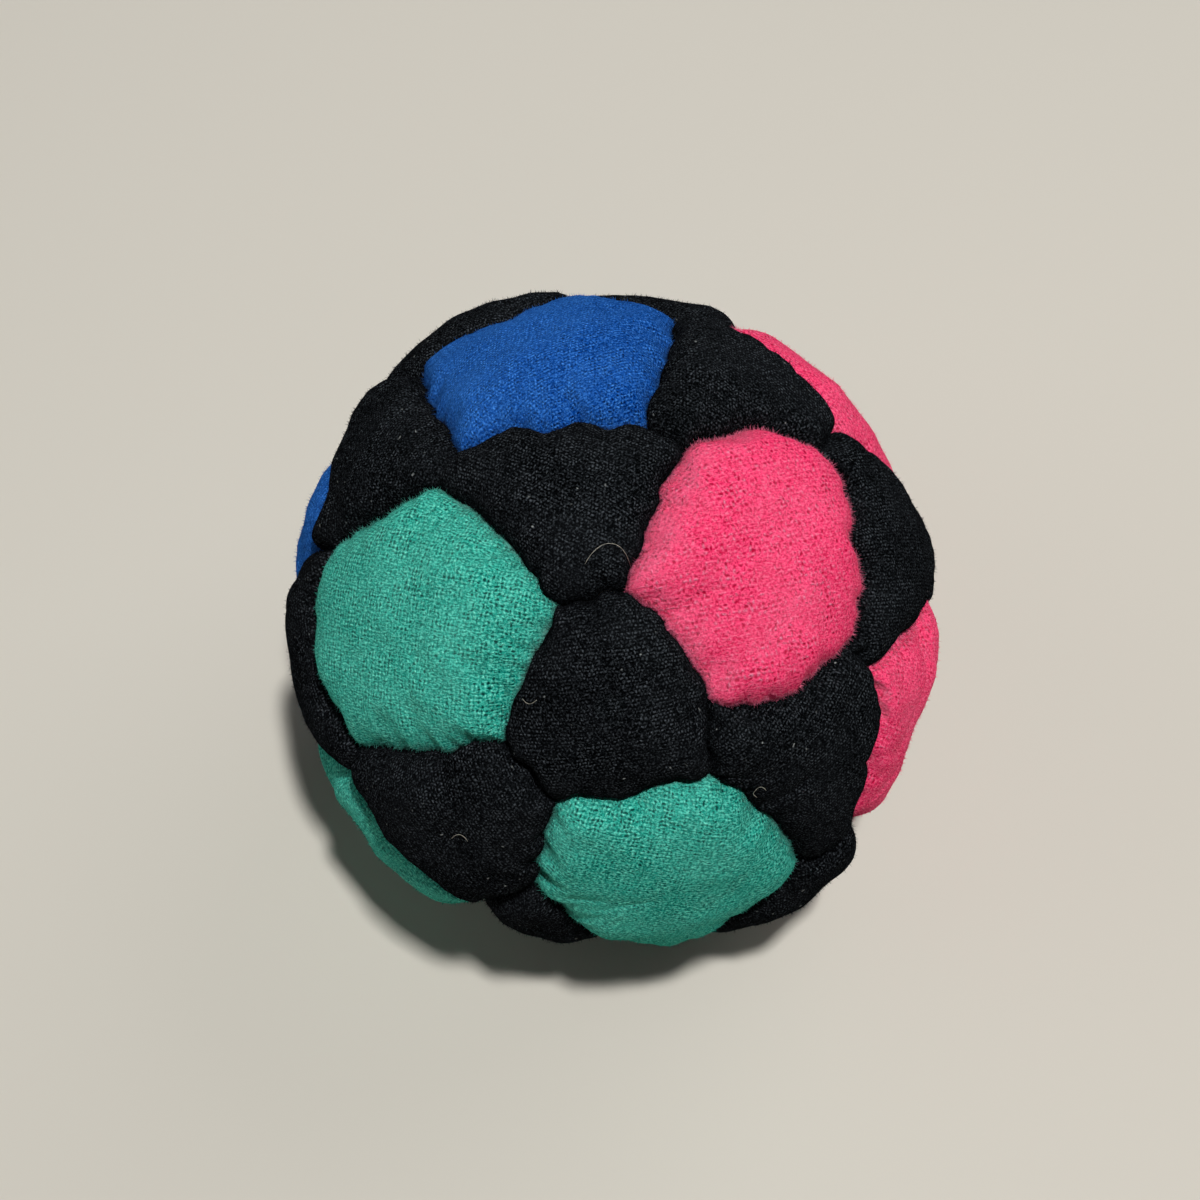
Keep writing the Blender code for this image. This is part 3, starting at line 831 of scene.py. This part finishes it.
def panel_mesh(name, panel, shift, colour):
    """A panel's closed mesh with its fibres, its knit's coordinates and its nearness to the seams."""
    rings = panel.rings()
    columns = len(panel.seam)
    first = panel.crown(1.0)[:1]
    last = panel.crown(1.0, SUEDE_THICKNESS)[:1]
    points = np.concatenate([first, *rings, last])
    faces = []
    for column in range(columns):
        after = (column + 1) % columns
        faces.append((0, 1 + after, 1 + column))
        for ring in range(len(rings) - 1):
            near, far = 1 + ring * columns, 1 + (ring + 1) * columns
            faces.append((near + column, near + after, far + after, far + column))
        end = 1 + (len(rings) - 1) * columns
        faces.append((end + column, end + after, len(points) - 1))
    faces = [face[::-1] for face in faces]
    flat = panel.flat(first, rings, last)
    draws = np.random.default_rng(len(name) + columns)
    fibres, fibre_flat, fibre_nearness = panel_fibres(panel, rings, flat, colour, draws)
    for start in range(len(points), len(points) + len(fibres), 4):
        faces += [(start + 2, start + 1, start)]
        faces += [(start + turn, start + (turn + 1) % 3, start + 3) for turn in range(3)]
    mesh = bpy.data.meshes.new(name)
    mesh.from_pydata((np.concatenate([points, fibres]) + shift).tolist(), [], faces)
    mesh.shade_smooth()
    flat = np.concatenate([flat, fibre_flat])
    corners = np.zeros(len(mesh.loops), np.int32)
    mesh.loops.foreach_get("vertex_index", corners)
    layer = mesh.uv_layers.new(name="knit")
    layer.data.foreach_set("uv", flat[corners].astype(np.float32).ravel())
    outer = 1 + ROWS * columns
    nearness = np.ones(len(points))
    nearness[:outer] = np.exp(-panel.seam_distance(points[:outer]) / RIM_REACH)
    # How far down its turned-in margin each point lies, by which painted shade darkens the grooves
    depth = np.ones(len(points))
    depth[:outer] = 0
    for ring, share in enumerate(MARGIN_ROWS_share):
        depth[outer + ring * columns:outer + (ring + 1) * columns] = share
    pile = np.zeros(len(points) + len(fibres))
    pile[len(points):] = 1
    nearness = np.concatenate([nearness, fibre_nearness])
    depth = np.concatenate([depth, np.zeros(len(fibres))])
    for name, values in (("seam_nearness", nearness), ("seam_depth", depth), ("pile", pile)):
        layer = mesh.attributes.new(name, "FLOAT", "POINT")
        layer.data.foreach_set("value", values.astype(np.float32))
    mesh.update()
    return mesh


# Materials


class Nodes:
    """Builds the nodes of a material or a world by short calls."""

    def __init__(self, owner, shader="Principled BSDF", output="Material Output"):
        owner.use_nodes = True
        self.tree = owner.node_tree
        self.shader, self.output = self.tree.nodes[shader], self.tree.nodes[output]

    def feed(self, node, inputs):
        """Links or sets these inputs of a node, by name or number."""
        for key, value in inputs.items():
            if isinstance(value, bpy.types.NodeSocket):
                self.tree.links.new(value, node.inputs[key])
            else:
                node.inputs[key].default_value = value

    def add(self, kind, inputs=(), **settings):
        """A node with these settings and inputs, the inputs by name or number."""
        node = self.tree.nodes.new(kind)
        for key, value in settings.items():
            setattr(node, key, value)
        self.feed(node, dict(inputs))
        return node

    def math(self, operation, *values, **settings):
        node = self.add("ShaderNodeMath", dict(enumerate(values)), operation=operation, **settings)
        return node.outputs[0]

    def multiply(self, first, second):
        return self.math("MULTIPLY", first, second)

    def noise(self, vector, scale, detail=2.0, roughness=0.5):
        inputs = {"Vector": vector, "Scale": scale, "Detail": detail, "Roughness": roughness}
        return self.add("ShaderNodeTexNoise", inputs).outputs["Fac"]

    def range(self, value, low, high, to_low=0.0, to_high=1.0):
        inputs = {"Value": value, "From Min": low, "From Max": high, "To Min": to_low, "To Max": to_high}
        return self.add("ShaderNodeMapRange", inputs).outputs["Result"]

    def mix(self, share, first, second):
        node = self.add("ShaderNodeMix", data_type="RGBA")
        self.feed(node, {0: share, 6: first, 7: second})
        return node.outputs[2]

    def show(self, share, second):
        """Shows a second shader in place of the first, by a share."""
        either = self.add("ShaderNodeMixShader", {0: share, 1: self.shader.outputs[0], 2: second.outputs[0]})
        self.feed(self.output, {"Surface": either.outputs[0]})

    def scaled(self, vector, scale):
        node = self.add("ShaderNodeVectorMath", {0: vector, 1: scale}, operation="MULTIPLY")
        return node.outputs[0]

    def wander(self, vector, scale, reach):
        """A place that wanders this far from its own, by a noise of this scale."""
        noise = self.add("ShaderNodeTexNoise", {"Vector": vector, "Scale": scale, "Detail": 2.0})
        inputs = {0: noise.outputs["Color"], 1: reach, 2: vector}
        return self.add("ShaderNodeVectorMath", inputs, operation="MULTIPLY_ADD").outputs[0]


def rgb(red, green, blue):
    """A colour of the screen's 0 to 255 values as a linear one."""
    def linear(value):
        share = value / 255
        return share / 12.92 if share <= 0.04045 else ((share + 0.055) / 1.055) ** 2.4
    return (linear(red), linear(green), linear(blue), 1.0)


# Suede: its colour, the deep colour painted as shade in the knit's pits, the pale colour painted as
# highlights on its loops and found in its nap, the colour of its rims, fuzz over the black with painted
# sheen, the knit's pitch, how far each row is shifted, how clear loops, pits, nap, worn patches and flecks of
# lint are, the painted sheen on faces turned towards -X, the side that the nap leans to, how much paler its
# standing fibres are, and the sheen
SUEDES = {
    "green": dict(base=rgb(18, 163, 143), deep=rgb(0, 54, 50), pale=rgb(132, 250, 226), rim=rgb(92, 134, 124),
                  pitch=0.35 * MM, stagger=0.0, loops=0.85, pits=1.3, nap=0.85, worn=0.12, lint=0.0,
                  painted_side_sheen=0.08, pile=0.15, sheen=0.05),
    "pink": dict(base=rgb(255, 62, 116), deep=rgb(186, 0, 54), pale=rgb(255, 152, 182),
                 rim=rgb(224, 116, 148), pitch=0.44 * MM, stagger=0.37, loops=0.55, pits=1.2,
                 nap=0.5, worn=0.12, lint=0.0, painted_side_sheen=0.2, pile=0.35, sheen=0.0),
    "blue": dict(base=rgb(1, 64, 150), deep=rgb(0, 12, 60), pale=rgb(76, 152, 244), rim=rgb(44, 78, 134),
                 pitch=0.30 * MM, stagger=0.5, loops=0.9, pits=1.3, nap=0.6, worn=0.1, lint=0.0,
                 painted_side_sheen=0.1, pile=0.15, sheen=0.1),
    "black": dict(base=rgb(3, 4, 5), deep=rgb(0, 0, 0), pale=rgb(88, 94, 100), rim=rgb(3, 4, 5),
                  pitch=0.29 * MM, stagger=0.5, loops=0.65, pits=1.0, nap=0.1, worn=0.03, lint=1.0,
                  painted_side_sheen=0.0, pile=0.08, sheen=0.0),
}
# How far the knit's rows wander, in pitches, over how many of them, and how strong a draw makes its blobs
KNIT_WANDER = 1.5
KNIT_WANDER_ROWS = 2.6
BLOB_DRAW = (0.1, 1.0, 0.0, 1.3)
# Powers that draw each loop out along its row or across it, in turn
LOOP_LONG = 0.7
LOOP_SLIM = 2.2
NAP_LENGTH = 0.42 * MM
NAP_WIDTH = 0.13 * MM
FUZZ_SIZE = 0.16 * MM
PATCH_SIZE = 7.0 * MM
CLOUD_SIZE = 2.2 * MM
# Detail and roughness of the noises of these sizes
PATCH_NOISE = (3.0, 0.55)
CLOUD_NOISE = (3.0, 0.6)
NAP_NOISE = (2.0, 0.6)
FUZZ_NOISE = (3.0, 0.65)
# Ranges of a noise, or of how far the surface faces up, and the strengths that these bring
CLEAR_BY_CLOUD = (0.38, 0.6, 0.25, 1.0)
CLEAR_BY_SLOPE = (0.2, 0.7, 0.35, 1.0)
BRUSHED_BY_CLOUD = (0.6, 0.38, 0.6, 1.3)
BRUSHED_BY_SLOPE = (0.7, 0.2, 0.7, 1.2)
LOOPS_BY_FUZZ = (0.36, 0.55, 0.1, 1.2)
RIM_BY_FUZZ = (0.3, 0.7, 0.6, 1.3)
DEEP_BY_FUZZ = (0.5, 0.34, 0.0, 0.85)
DEEP_BY_CLOUD = (0.5, 0.3, 0.0, 0.18)
RIM_COLOUR_BY_RIM = (0.35, 0.85, 0.0, 0.75)
ROUGHNESS_BY_NAP = (0.2, 0.8, 0.85, 0.98)
# Ranges over which a look comes in, in full at the second value
PALE_NAP = (0.48, 0.7)
DEEP_NAP = (0.52, 0.3)
PALE_FUZZ = (0.54, 0.7)
WORN_PATCH = (0.4, 0.7)
# Painted sheen: the range of the normal's X over which faces turned towards -X are painted paler
PAINTED_SHEEN_SIDE = (0.1, -0.6)
# Painted shade: the range of depth in the turned-in margins over which the grooves turn near-black
GROOVE_SHADE_RANGE = (0.05, 0.35)
# How strongly the fuzz shows the loops' colour, and the knit its own
FUZZ_share = 0.6
KNIT_GAIN = 1.25
# Relief of the knit and the fuzz, as shares of the suede's relief, and how much of it the light shows
KNIT_RELIEF_share = 0.8
FUZZ_RELIEF_share = 0.9
RELIEF_STRENGTH = 0.9
SHEEN_ROUGHNESS = 0.5
# Flecks of lint: their pitch, the distances from a fleck's middle where it starts and is full, the draws
# of those that show, and their colour
LINT_PITCH = 1.15 * MM
LINT_SPOT = (0.10, 0.04)
LINT_DRAW = (0.45, 1.0)
LINT_COLOUR = rgb(150, 154, 152)
# Painted shade: the near-black colour that stands for the shadow down in the grooves between panels
PAINTED_GROOVE_SHADE = rgb(3, 3, 4)
SUEDE_RELIEF = 0.11 * MM
# Grains and twisted fibres: their dark and pale colours, size, roughness and relief
GRAINS = {
    "sand_grains": (rgb(150, 122, 84), rgb(214, 192, 150), 0.4 * MM, 1.0, 0.2 * MM),
    "polyester_thread": (rgb(14, 14, 16), rgb(44, 44, 48), 0.12 * MM, 0.7, 0.04 * MM),
    "pale_fibre": (rgb(112, 110, 100), rgb(176, 172, 158), 0.3 * MM, 0.7, 0.01 * MM),
}
# How much less rough the darkest grains are than the palest
GRAIN_GLOSS = 0.1


def knit_lattice(nodes, place, pitch, stagger, shift):
    """A lattice of the knit, shifted by a share of its pitch: random blobs, drawn out by turns."""
    cells = nodes.scaled(place, (1 / pitch, 1 / pitch, 1))
    cells = nodes.wander(cells, 1 / KNIT_WANDER_ROWS, (KNIT_WANDER, KNIT_WANDER, 0.0))
    split = nodes.add("ShaderNodeSeparateXYZ", {0: cells})
    up = nodes.math("ADD", split.outputs[1], shift)
    row = nodes.math("FLOOR", up)
    across = nodes.math("ADD", nodes.math("MULTIPLY_ADD", row, stagger, split.outputs[0]), shift)
    column = nodes.math("FLOOR", across)
    cell = nodes.add("ShaderNodeCombineXYZ", {0: column, 1: row, 2: shift})
    draw = nodes.add("ShaderNodeTexWhiteNoise", {"Vector": cell.outputs[0]}).outputs["Value"]
    turn = nodes.math("FLOORED_MODULO", nodes.math("ADD", column, row), 2.0)
    blob = nodes.range(draw, *BLOB_DRAW)
    for line, first, last in ((across, LOOP_LONG, LOOP_SLIM), (up, LOOP_SLIM, LOOP_LONG)):
        wave = nodes.math("COSINE", nodes.multiply(line, 2 * math.pi))
        wave = nodes.math("MULTIPLY_ADD", wave, -0.5, 0.5)
        blob = nodes.multiply(blob, nodes.math("POWER", wave, nodes.range(turn, 0.0, 1.0, first, last)))
    return blob


def lint(nodes, solid, strength):
    """Sparse pale flecks of lint: small drawn-out spots, each of its own strength."""
    bent = nodes.wander(solid, 1 / LINT_PITCH, (LINT_PITCH,) * 3)
    cells = nodes.add("ShaderNodeTexVoronoi", {"Vector": bent, "Scale": 1 / LINT_PITCH})
    near = nodes.range(cells.outputs["Distance"], *LINT_SPOT)
    draw = nodes.add("ShaderNodeSeparateColor", {0: cells.outputs["Color"]}).outputs[0]
    return nodes.multiply(near, nodes.range(draw, *LINT_DRAW, 0.0, strength))


def suede_material(name, looks):
    """Knitted suede: loops and pits of its knit, painted as highlights and shade, under a brushed nap,
    patches of wear, rims of fuzz over the black with painted sheen, painted sheen on faces turned towards -X,
    and painted shade in its turned-in margins.
    """
    material = bpy.data.materials.new(f"{name}_knitted_suede")
    nodes = Nodes(material)
    base, deep, pale = looks["base"], looks["deep"], looks["pale"]
    place = nodes.add("ShaderNodeUVMap", uv_map="knit").outputs[0]
    solid = nodes.add("ShaderNodeTexCoord").outputs["Object"]
    edge = nodes.add("ShaderNodeAttribute", attribute_name="seam_nearness").outputs["Fac"]
    depth = nodes.add("ShaderNodeAttribute", attribute_name="seam_depth").outputs["Fac"]
    pile = nodes.add("ShaderNodeAttribute", attribute_name="pile").outputs["Fac"]

    patches = nodes.noise(solid, 1 / PATCH_SIZE, *PATCH_NOISE)
    clouds = nodes.noise(solid, 1 / CLOUD_SIZE, *CLOUD_NOISE)
    nap = nodes.noise(nodes.scaled(place, (1 / NAP_LENGTH, 1 / NAP_WIDTH, 1)), 1.0, *NAP_NOISE)
    fuzz = nodes.noise(solid, 1 / FUZZ_SIZE, *FUZZ_NOISE)
    # Loops of the knit, painted as highlights, and its pits, painted as shade
    loops = knit_lattice(nodes, place, looks["pitch"], looks["stagger"], 0.0)
    pits = knit_lattice(nodes, place, looks["pitch"], looks["stagger"], 0.5)
    way_out = nodes.add("ShaderNodeNewGeometry").outputs["True Normal"]
    sides = nodes.add("ShaderNodeSeparateXYZ", {0: way_out})
    upright = sides.outputs[2]
    clear = nodes.multiply(nodes.range(clouds, *CLEAR_BY_CLOUD), nodes.range(upright, *CLEAR_BY_SLOPE))
    brushed = nodes.multiply(nodes.range(clouds, *BRUSHED_BY_CLOUD), looks["nap"])
    brushed = nodes.multiply(brushed, nodes.range(upright, *BRUSHED_BY_SLOPE))
    loops = nodes.multiply(nodes.multiply(loops, nodes.range(fuzz, *LOOPS_BY_FUZZ)), clear)
    pits = nodes.multiply(pits, clear)
    pit_share = nodes.math("MULTIPLY", pits, KNIT_GAIN * looks["pits"], use_clamp=True)
    loop_share = nodes.math("MULTIPLY", loops, KNIT_GAIN * looks["loops"], use_clamp=True)
    rim = nodes.multiply(edge, nodes.range(fuzz, *RIM_BY_FUZZ))

    colour = base
    layers = [
        (nodes.range(nap, *PALE_NAP, 0.0, brushed), pale),
        (nodes.range(nap, *DEEP_NAP, 0.0, brushed), deep),
        (nodes.range(fuzz, *DEEP_BY_FUZZ), deep),
        (nodes.range(fuzz, *PALE_FUZZ, 0.0, FUZZ_share * looks["loops"]), pale),
        # Painted shade in the knit's pits and painted highlights on its loops
        (pit_share, deep),
        (loop_share, pale),
        (nodes.range(patches, *WORN_PATCH, 0.0, looks["worn"]), pale),
        # Painted sheen: paler on the faces turned towards -X
        (nodes.range(sides.outputs[0], *PAINTED_SHEEN_SIDE, 0.0, looks["painted_side_sheen"]), pale),
        (nodes.range(clouds, *DEEP_BY_CLOUD), deep),
        # Rim colour near the seams: fuzz over the black, with painted sheen
        (nodes.range(rim, *RIM_COLOUR_BY_RIM), looks["rim"]),
    ]
    if looks["lint"]:
        layers.append((lint(nodes, solid, looks["lint"]), LINT_COLOUR))
    # Painted shade down in the grooves of the turned-in margins
    layers.append((nodes.range(depth, *GROOVE_SHADE_RANGE), PAINTED_GROOVE_SHADE))
    layers.append((nodes.multiply(pile, looks["pile"]), pale))
    for share, tone in layers:
        colour = nodes.mix(share, colour, tone)

    height = nodes.math(
        "SUBTRACT", nodes.multiply(loops, KNIT_RELIEF_share), nodes.multiply(pits, KNIT_RELIEF_share))
    height = nodes.math("MULTIPLY_ADD", fuzz, FUZZ_RELIEF_share, height)
    height = nodes.math("MULTIPLY_ADD", nap, looks["nap"], height)
    relief = {"Height": height, "Distance": SUEDE_RELIEF, "Strength": RELIEF_STRENGTH}
    nodes.feed(nodes.shader, {
        "Base Color": colour,
        "Normal": nodes.add("ShaderNodeBump", relief).outputs[0],
        "Roughness": nodes.range(nap, *ROUGHNESS_BY_NAP),
        "Specular IOR Level": 0.0,
        "Sheen Weight": looks["sheen"],
        "Sheen Roughness": SHEEN_ROUGHNESS,
        "Sheen Tint": pale,
    })
    return material


def grain_material(name):
    """Loose grains or twisted fibres of two colours."""
    dark, pale, grain_size, roughness, relief = GRAINS[name]
    material = bpy.data.materials.new(name)
    nodes = Nodes(material)
    solid = nodes.add("ShaderNodeTexCoord").outputs["Object"]
    cells = nodes.add("ShaderNodeTexVoronoi", {"Vector": solid, "Scale": 1 / grain_size})
    tint = nodes.add("ShaderNodeSeparateColor", {0: cells.outputs["Color"]}).outputs[0]
    bump = nodes.add("ShaderNodeBump", {"Height": cells.outputs["Distance"], "Distance": relief})
    bump.invert = True
    rough = nodes.range(tint, 0.0, 1.0, roughness - GRAIN_GLOSS, roughness)
    colour = nodes.mix(tint, dark, pale)
    nodes.feed(nodes.shader, {"Base Color": colour, "Normal": bump.outputs[0], "Roughness": rough})
    return material


# The bag


def build_panels():
    """Every panel as a padded piece that stands for its solid."""
    panels = all_panels()
    shift = frame_shift(panels)
    blow_up(panels)
    for node, (pixels, depth, reach) in PHOTO_CREASES.items():
        panels[node].crease = crease_line(pixels), depth, reach
    pieces = []
    materials = {name: suede_material(name, looks) for name, looks in SUEDES.items()}
    for node, panel in panels.items():
        colour = node.split("_")[0]
        name = node.replace("_panel_", "_suede_")
        piece = placed(name, panel_mesh(name, panel, shift, colour))
        piece.data.materials.append(materials[colour])
        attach(piece, "root")
        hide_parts(node)
        pieces.append(piece)
    return pieces, shift


def on_surface(pixel, camera, pieces):
    """The nearest point of the pieces that the camera sees at a pixel, and the surface's normal there."""
    hits = [piece.ray_cast(camera, photo_ray(pixel)) for piece in pieces]
    hits = [(point, normal) for found, point, normal, face in hits if found]
    return min(hits, key=lambda hit: (hit[0] - camera).length)


def tube(path, thickness, sides):
    """Points and faces of a closed tube along a path."""
    path = np.array(path)
    along = unit(np.gradient(path, axis=0))
    first = unit(np.cross(along, TUBE_WAY))
    second = np.cross(along, first)
    turns = np.arange(sides) * 2 * np.pi / sides
    rings = [path + (first * np.cos(turn) + second * np.sin(turn)) * thickness / 2 for turn in turns]
    points = np.stack(rings, axis=1).reshape(-1, 3)
    faces = [tuple(reversed(range(sides))), tuple(range(len(points) - sides, len(points)))]
    for step in range(len(path) - 1):
        for side in range(sides):
            near, far = step * sides, (step + 1) * sides
            after = (side + 1) % sides
            faces.append((near + side, near + after, far + after, far + side))
    return points, faces


def build_stray_fibres(camera, pieces):
    """The pale stray fibres that the black suede has picked up."""
    points, faces = np.zeros((0, 3)), []
    for pixels, arch in STRAY_FIBRES:
        shares = np.linspace(0, 1, len(pixels))
        curve = np.polyfit(shares, pixels, len(pixels) - 1)
        path = []
        for share in np.linspace(0, 1, STRAY_STEPS):
            pixel = sum(term * share ** power for power, term in enumerate(reversed(curve)))
            point, normal = on_surface(pixel, camera, pieces)
            path.append(point + normal * (STRAY_THICKNESS + arch * math.sin(math.pi * share)))
        for smoothing in range(STRAY_SMOOTHING):
            threes = list(zip(path, path[1:], path[2:]))
            path[1:-1] = [(before + 2 * here + after) / 4 for before, here, after in threes]
        tube_points, tube_faces = tube(path, STRAY_THICKNESS, STRAY_SIDES)
        faces += [tuple(corner + len(points) for corner in face) for face in tube_faces]
        points = np.concatenate([points, tube_points])
    mesh = bpy.data.meshes.new("stray_fibres")
    mesh.from_pydata(points.tolist(), [], faces)
    mesh.shade_smooth()
    mesh.materials.append(grain_material("pale_fibre"))
    piece = placed("stray_fibres", mesh)
    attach(piece, "root")


def finish_solids():
    """Materials of the solids that stay: the sand and the thread."""
    for node, name in (("sand_filling", "sand_grains"), ("seam_thread", "polyester_thread")):
        material = grain_material(name)
        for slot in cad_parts[node].material_slots:
            slot.material = material


# The studio


FLOOR_SIDE = 9.0
FLOOR_COLOUR = rgb(206, 201, 190)
FLOOR_ROUGHNESS = 0.9
FLOOR_GLOSS = 0.2
SKY_COLOUR = rgb(255, 255, 255)
SKY_LEVEL = 0.025
# Distances from the bag between which the floor fades from its lit shade to its plain colour
FLOOR_FADE = (120 * MM, 500 * MM)
# Lamps: the way to each from the bag, how far it stands, its side and the level at which it lights a
# white surface
LAMPS = {
    "key_lamp": (Vector((0.125, -0.10, 1.0)), 0.65, 0.048, 0.93),
    "side_lamp": (Vector((0.65, 0.65, 0.6)), 4.5, 3.8, 0.25),
    "fill_lamp": (Vector((-0.9, 0.1, 0.45)), 4.5, 3.6, 0.12),
}


def shown_ray(nodes):
    """One for the rays that show the background: from the camera, from gloss and through glass."""
    path = nodes.add("ShaderNodeLightPath").outputs
    either = nodes.math("MAXIMUM", path["Is Camera Ray"], path["Is Glossy Ray"])
    return nodes.math("MAXIMUM", either, path["Is Transmission Ray"])


def build_floor():
    """The plain pale floor under the bag, which shows its plain colour far from it."""
    bpy.ops.mesh.primitive_plane_add(size=FLOOR_SIDE)
    floor = bpy.context.object
    floor.name = "floor"
    material = bpy.data.materials.new("pale_floor")
    nodes = Nodes(material)
    looks = {"Base Color": FLOOR_COLOUR, "Roughness": FLOOR_ROUGHNESS, "Specular IOR Level": FLOOR_GLOSS}
    nodes.feed(nodes.shader, looks)
    place = nodes.add("ShaderNodeTexCoord").outputs["Object"]
    away = nodes.add("ShaderNodeVectorMath", {0: place}, operation="LENGTH").outputs["Value"]
    share = nodes.multiply(nodes.range(away, *FLOOR_FADE), shown_ray(nodes))
    nodes.show(share, nodes.add("ShaderNodeEmission", {"Color": FLOOR_COLOUR}))
    floor.data.materials.append(material)


def build_lights(middle):
    """The lamps, and a soft sky all round that looks as pale as the floor."""
    world = bpy.data.worlds.new("sky")
    nodes = Nodes(world, "Background", "World Output")
    nodes.feed(nodes.shader, {"Color": SKY_COLOUR, "Strength": SKY_LEVEL})
    nodes.show(shown_ray(nodes), nodes.add("ShaderNodeBackground", {"Color": FLOOR_COLOUR}))
    bpy.context.scene.world = world
    for name, (way, distance, side, level) in LAMPS.items():
        data = bpy.data.lights.new(name, "AREA")
        data.size = side
        data.energy = level * math.pi ** 2 * distance ** 2
        lamp = placed(name, data)
        lamp.location = middle + way.normalized() * distance
        lamp.rotation_euler = way.to_track_quat("Z", "Y").to_euler()


def build_camera(middle):
    """The camera at the photograph's place."""
    data = bpy.data.cameras.new("photo_camera")
    data.angle = PHOTO_ANGLE
    data.clip_start = SEAM_WIDTH / 2
    camera = placed("photo_camera", data)
    axes = Matrix(photo_axes()).transposed().to_4x4()
    place = middle + camera_share() * SEAM_WIDTH / 2
    camera.matrix_world = Matrix.Translation(place) @ axes
    bpy.context.scene.camera = camera
    return place


panel_pieces, bag_shift = build_panels()
finish_solids()
bag_middle = Vector(BALL_MIDDLE + bag_shift)
camera_place = build_camera(bag_middle)
build_stray_fibres(camera_place, panel_pieces)
build_floor()
build_lights(bag_middle)
bpy.context.scene.view_settings.view_transform = "Standard"
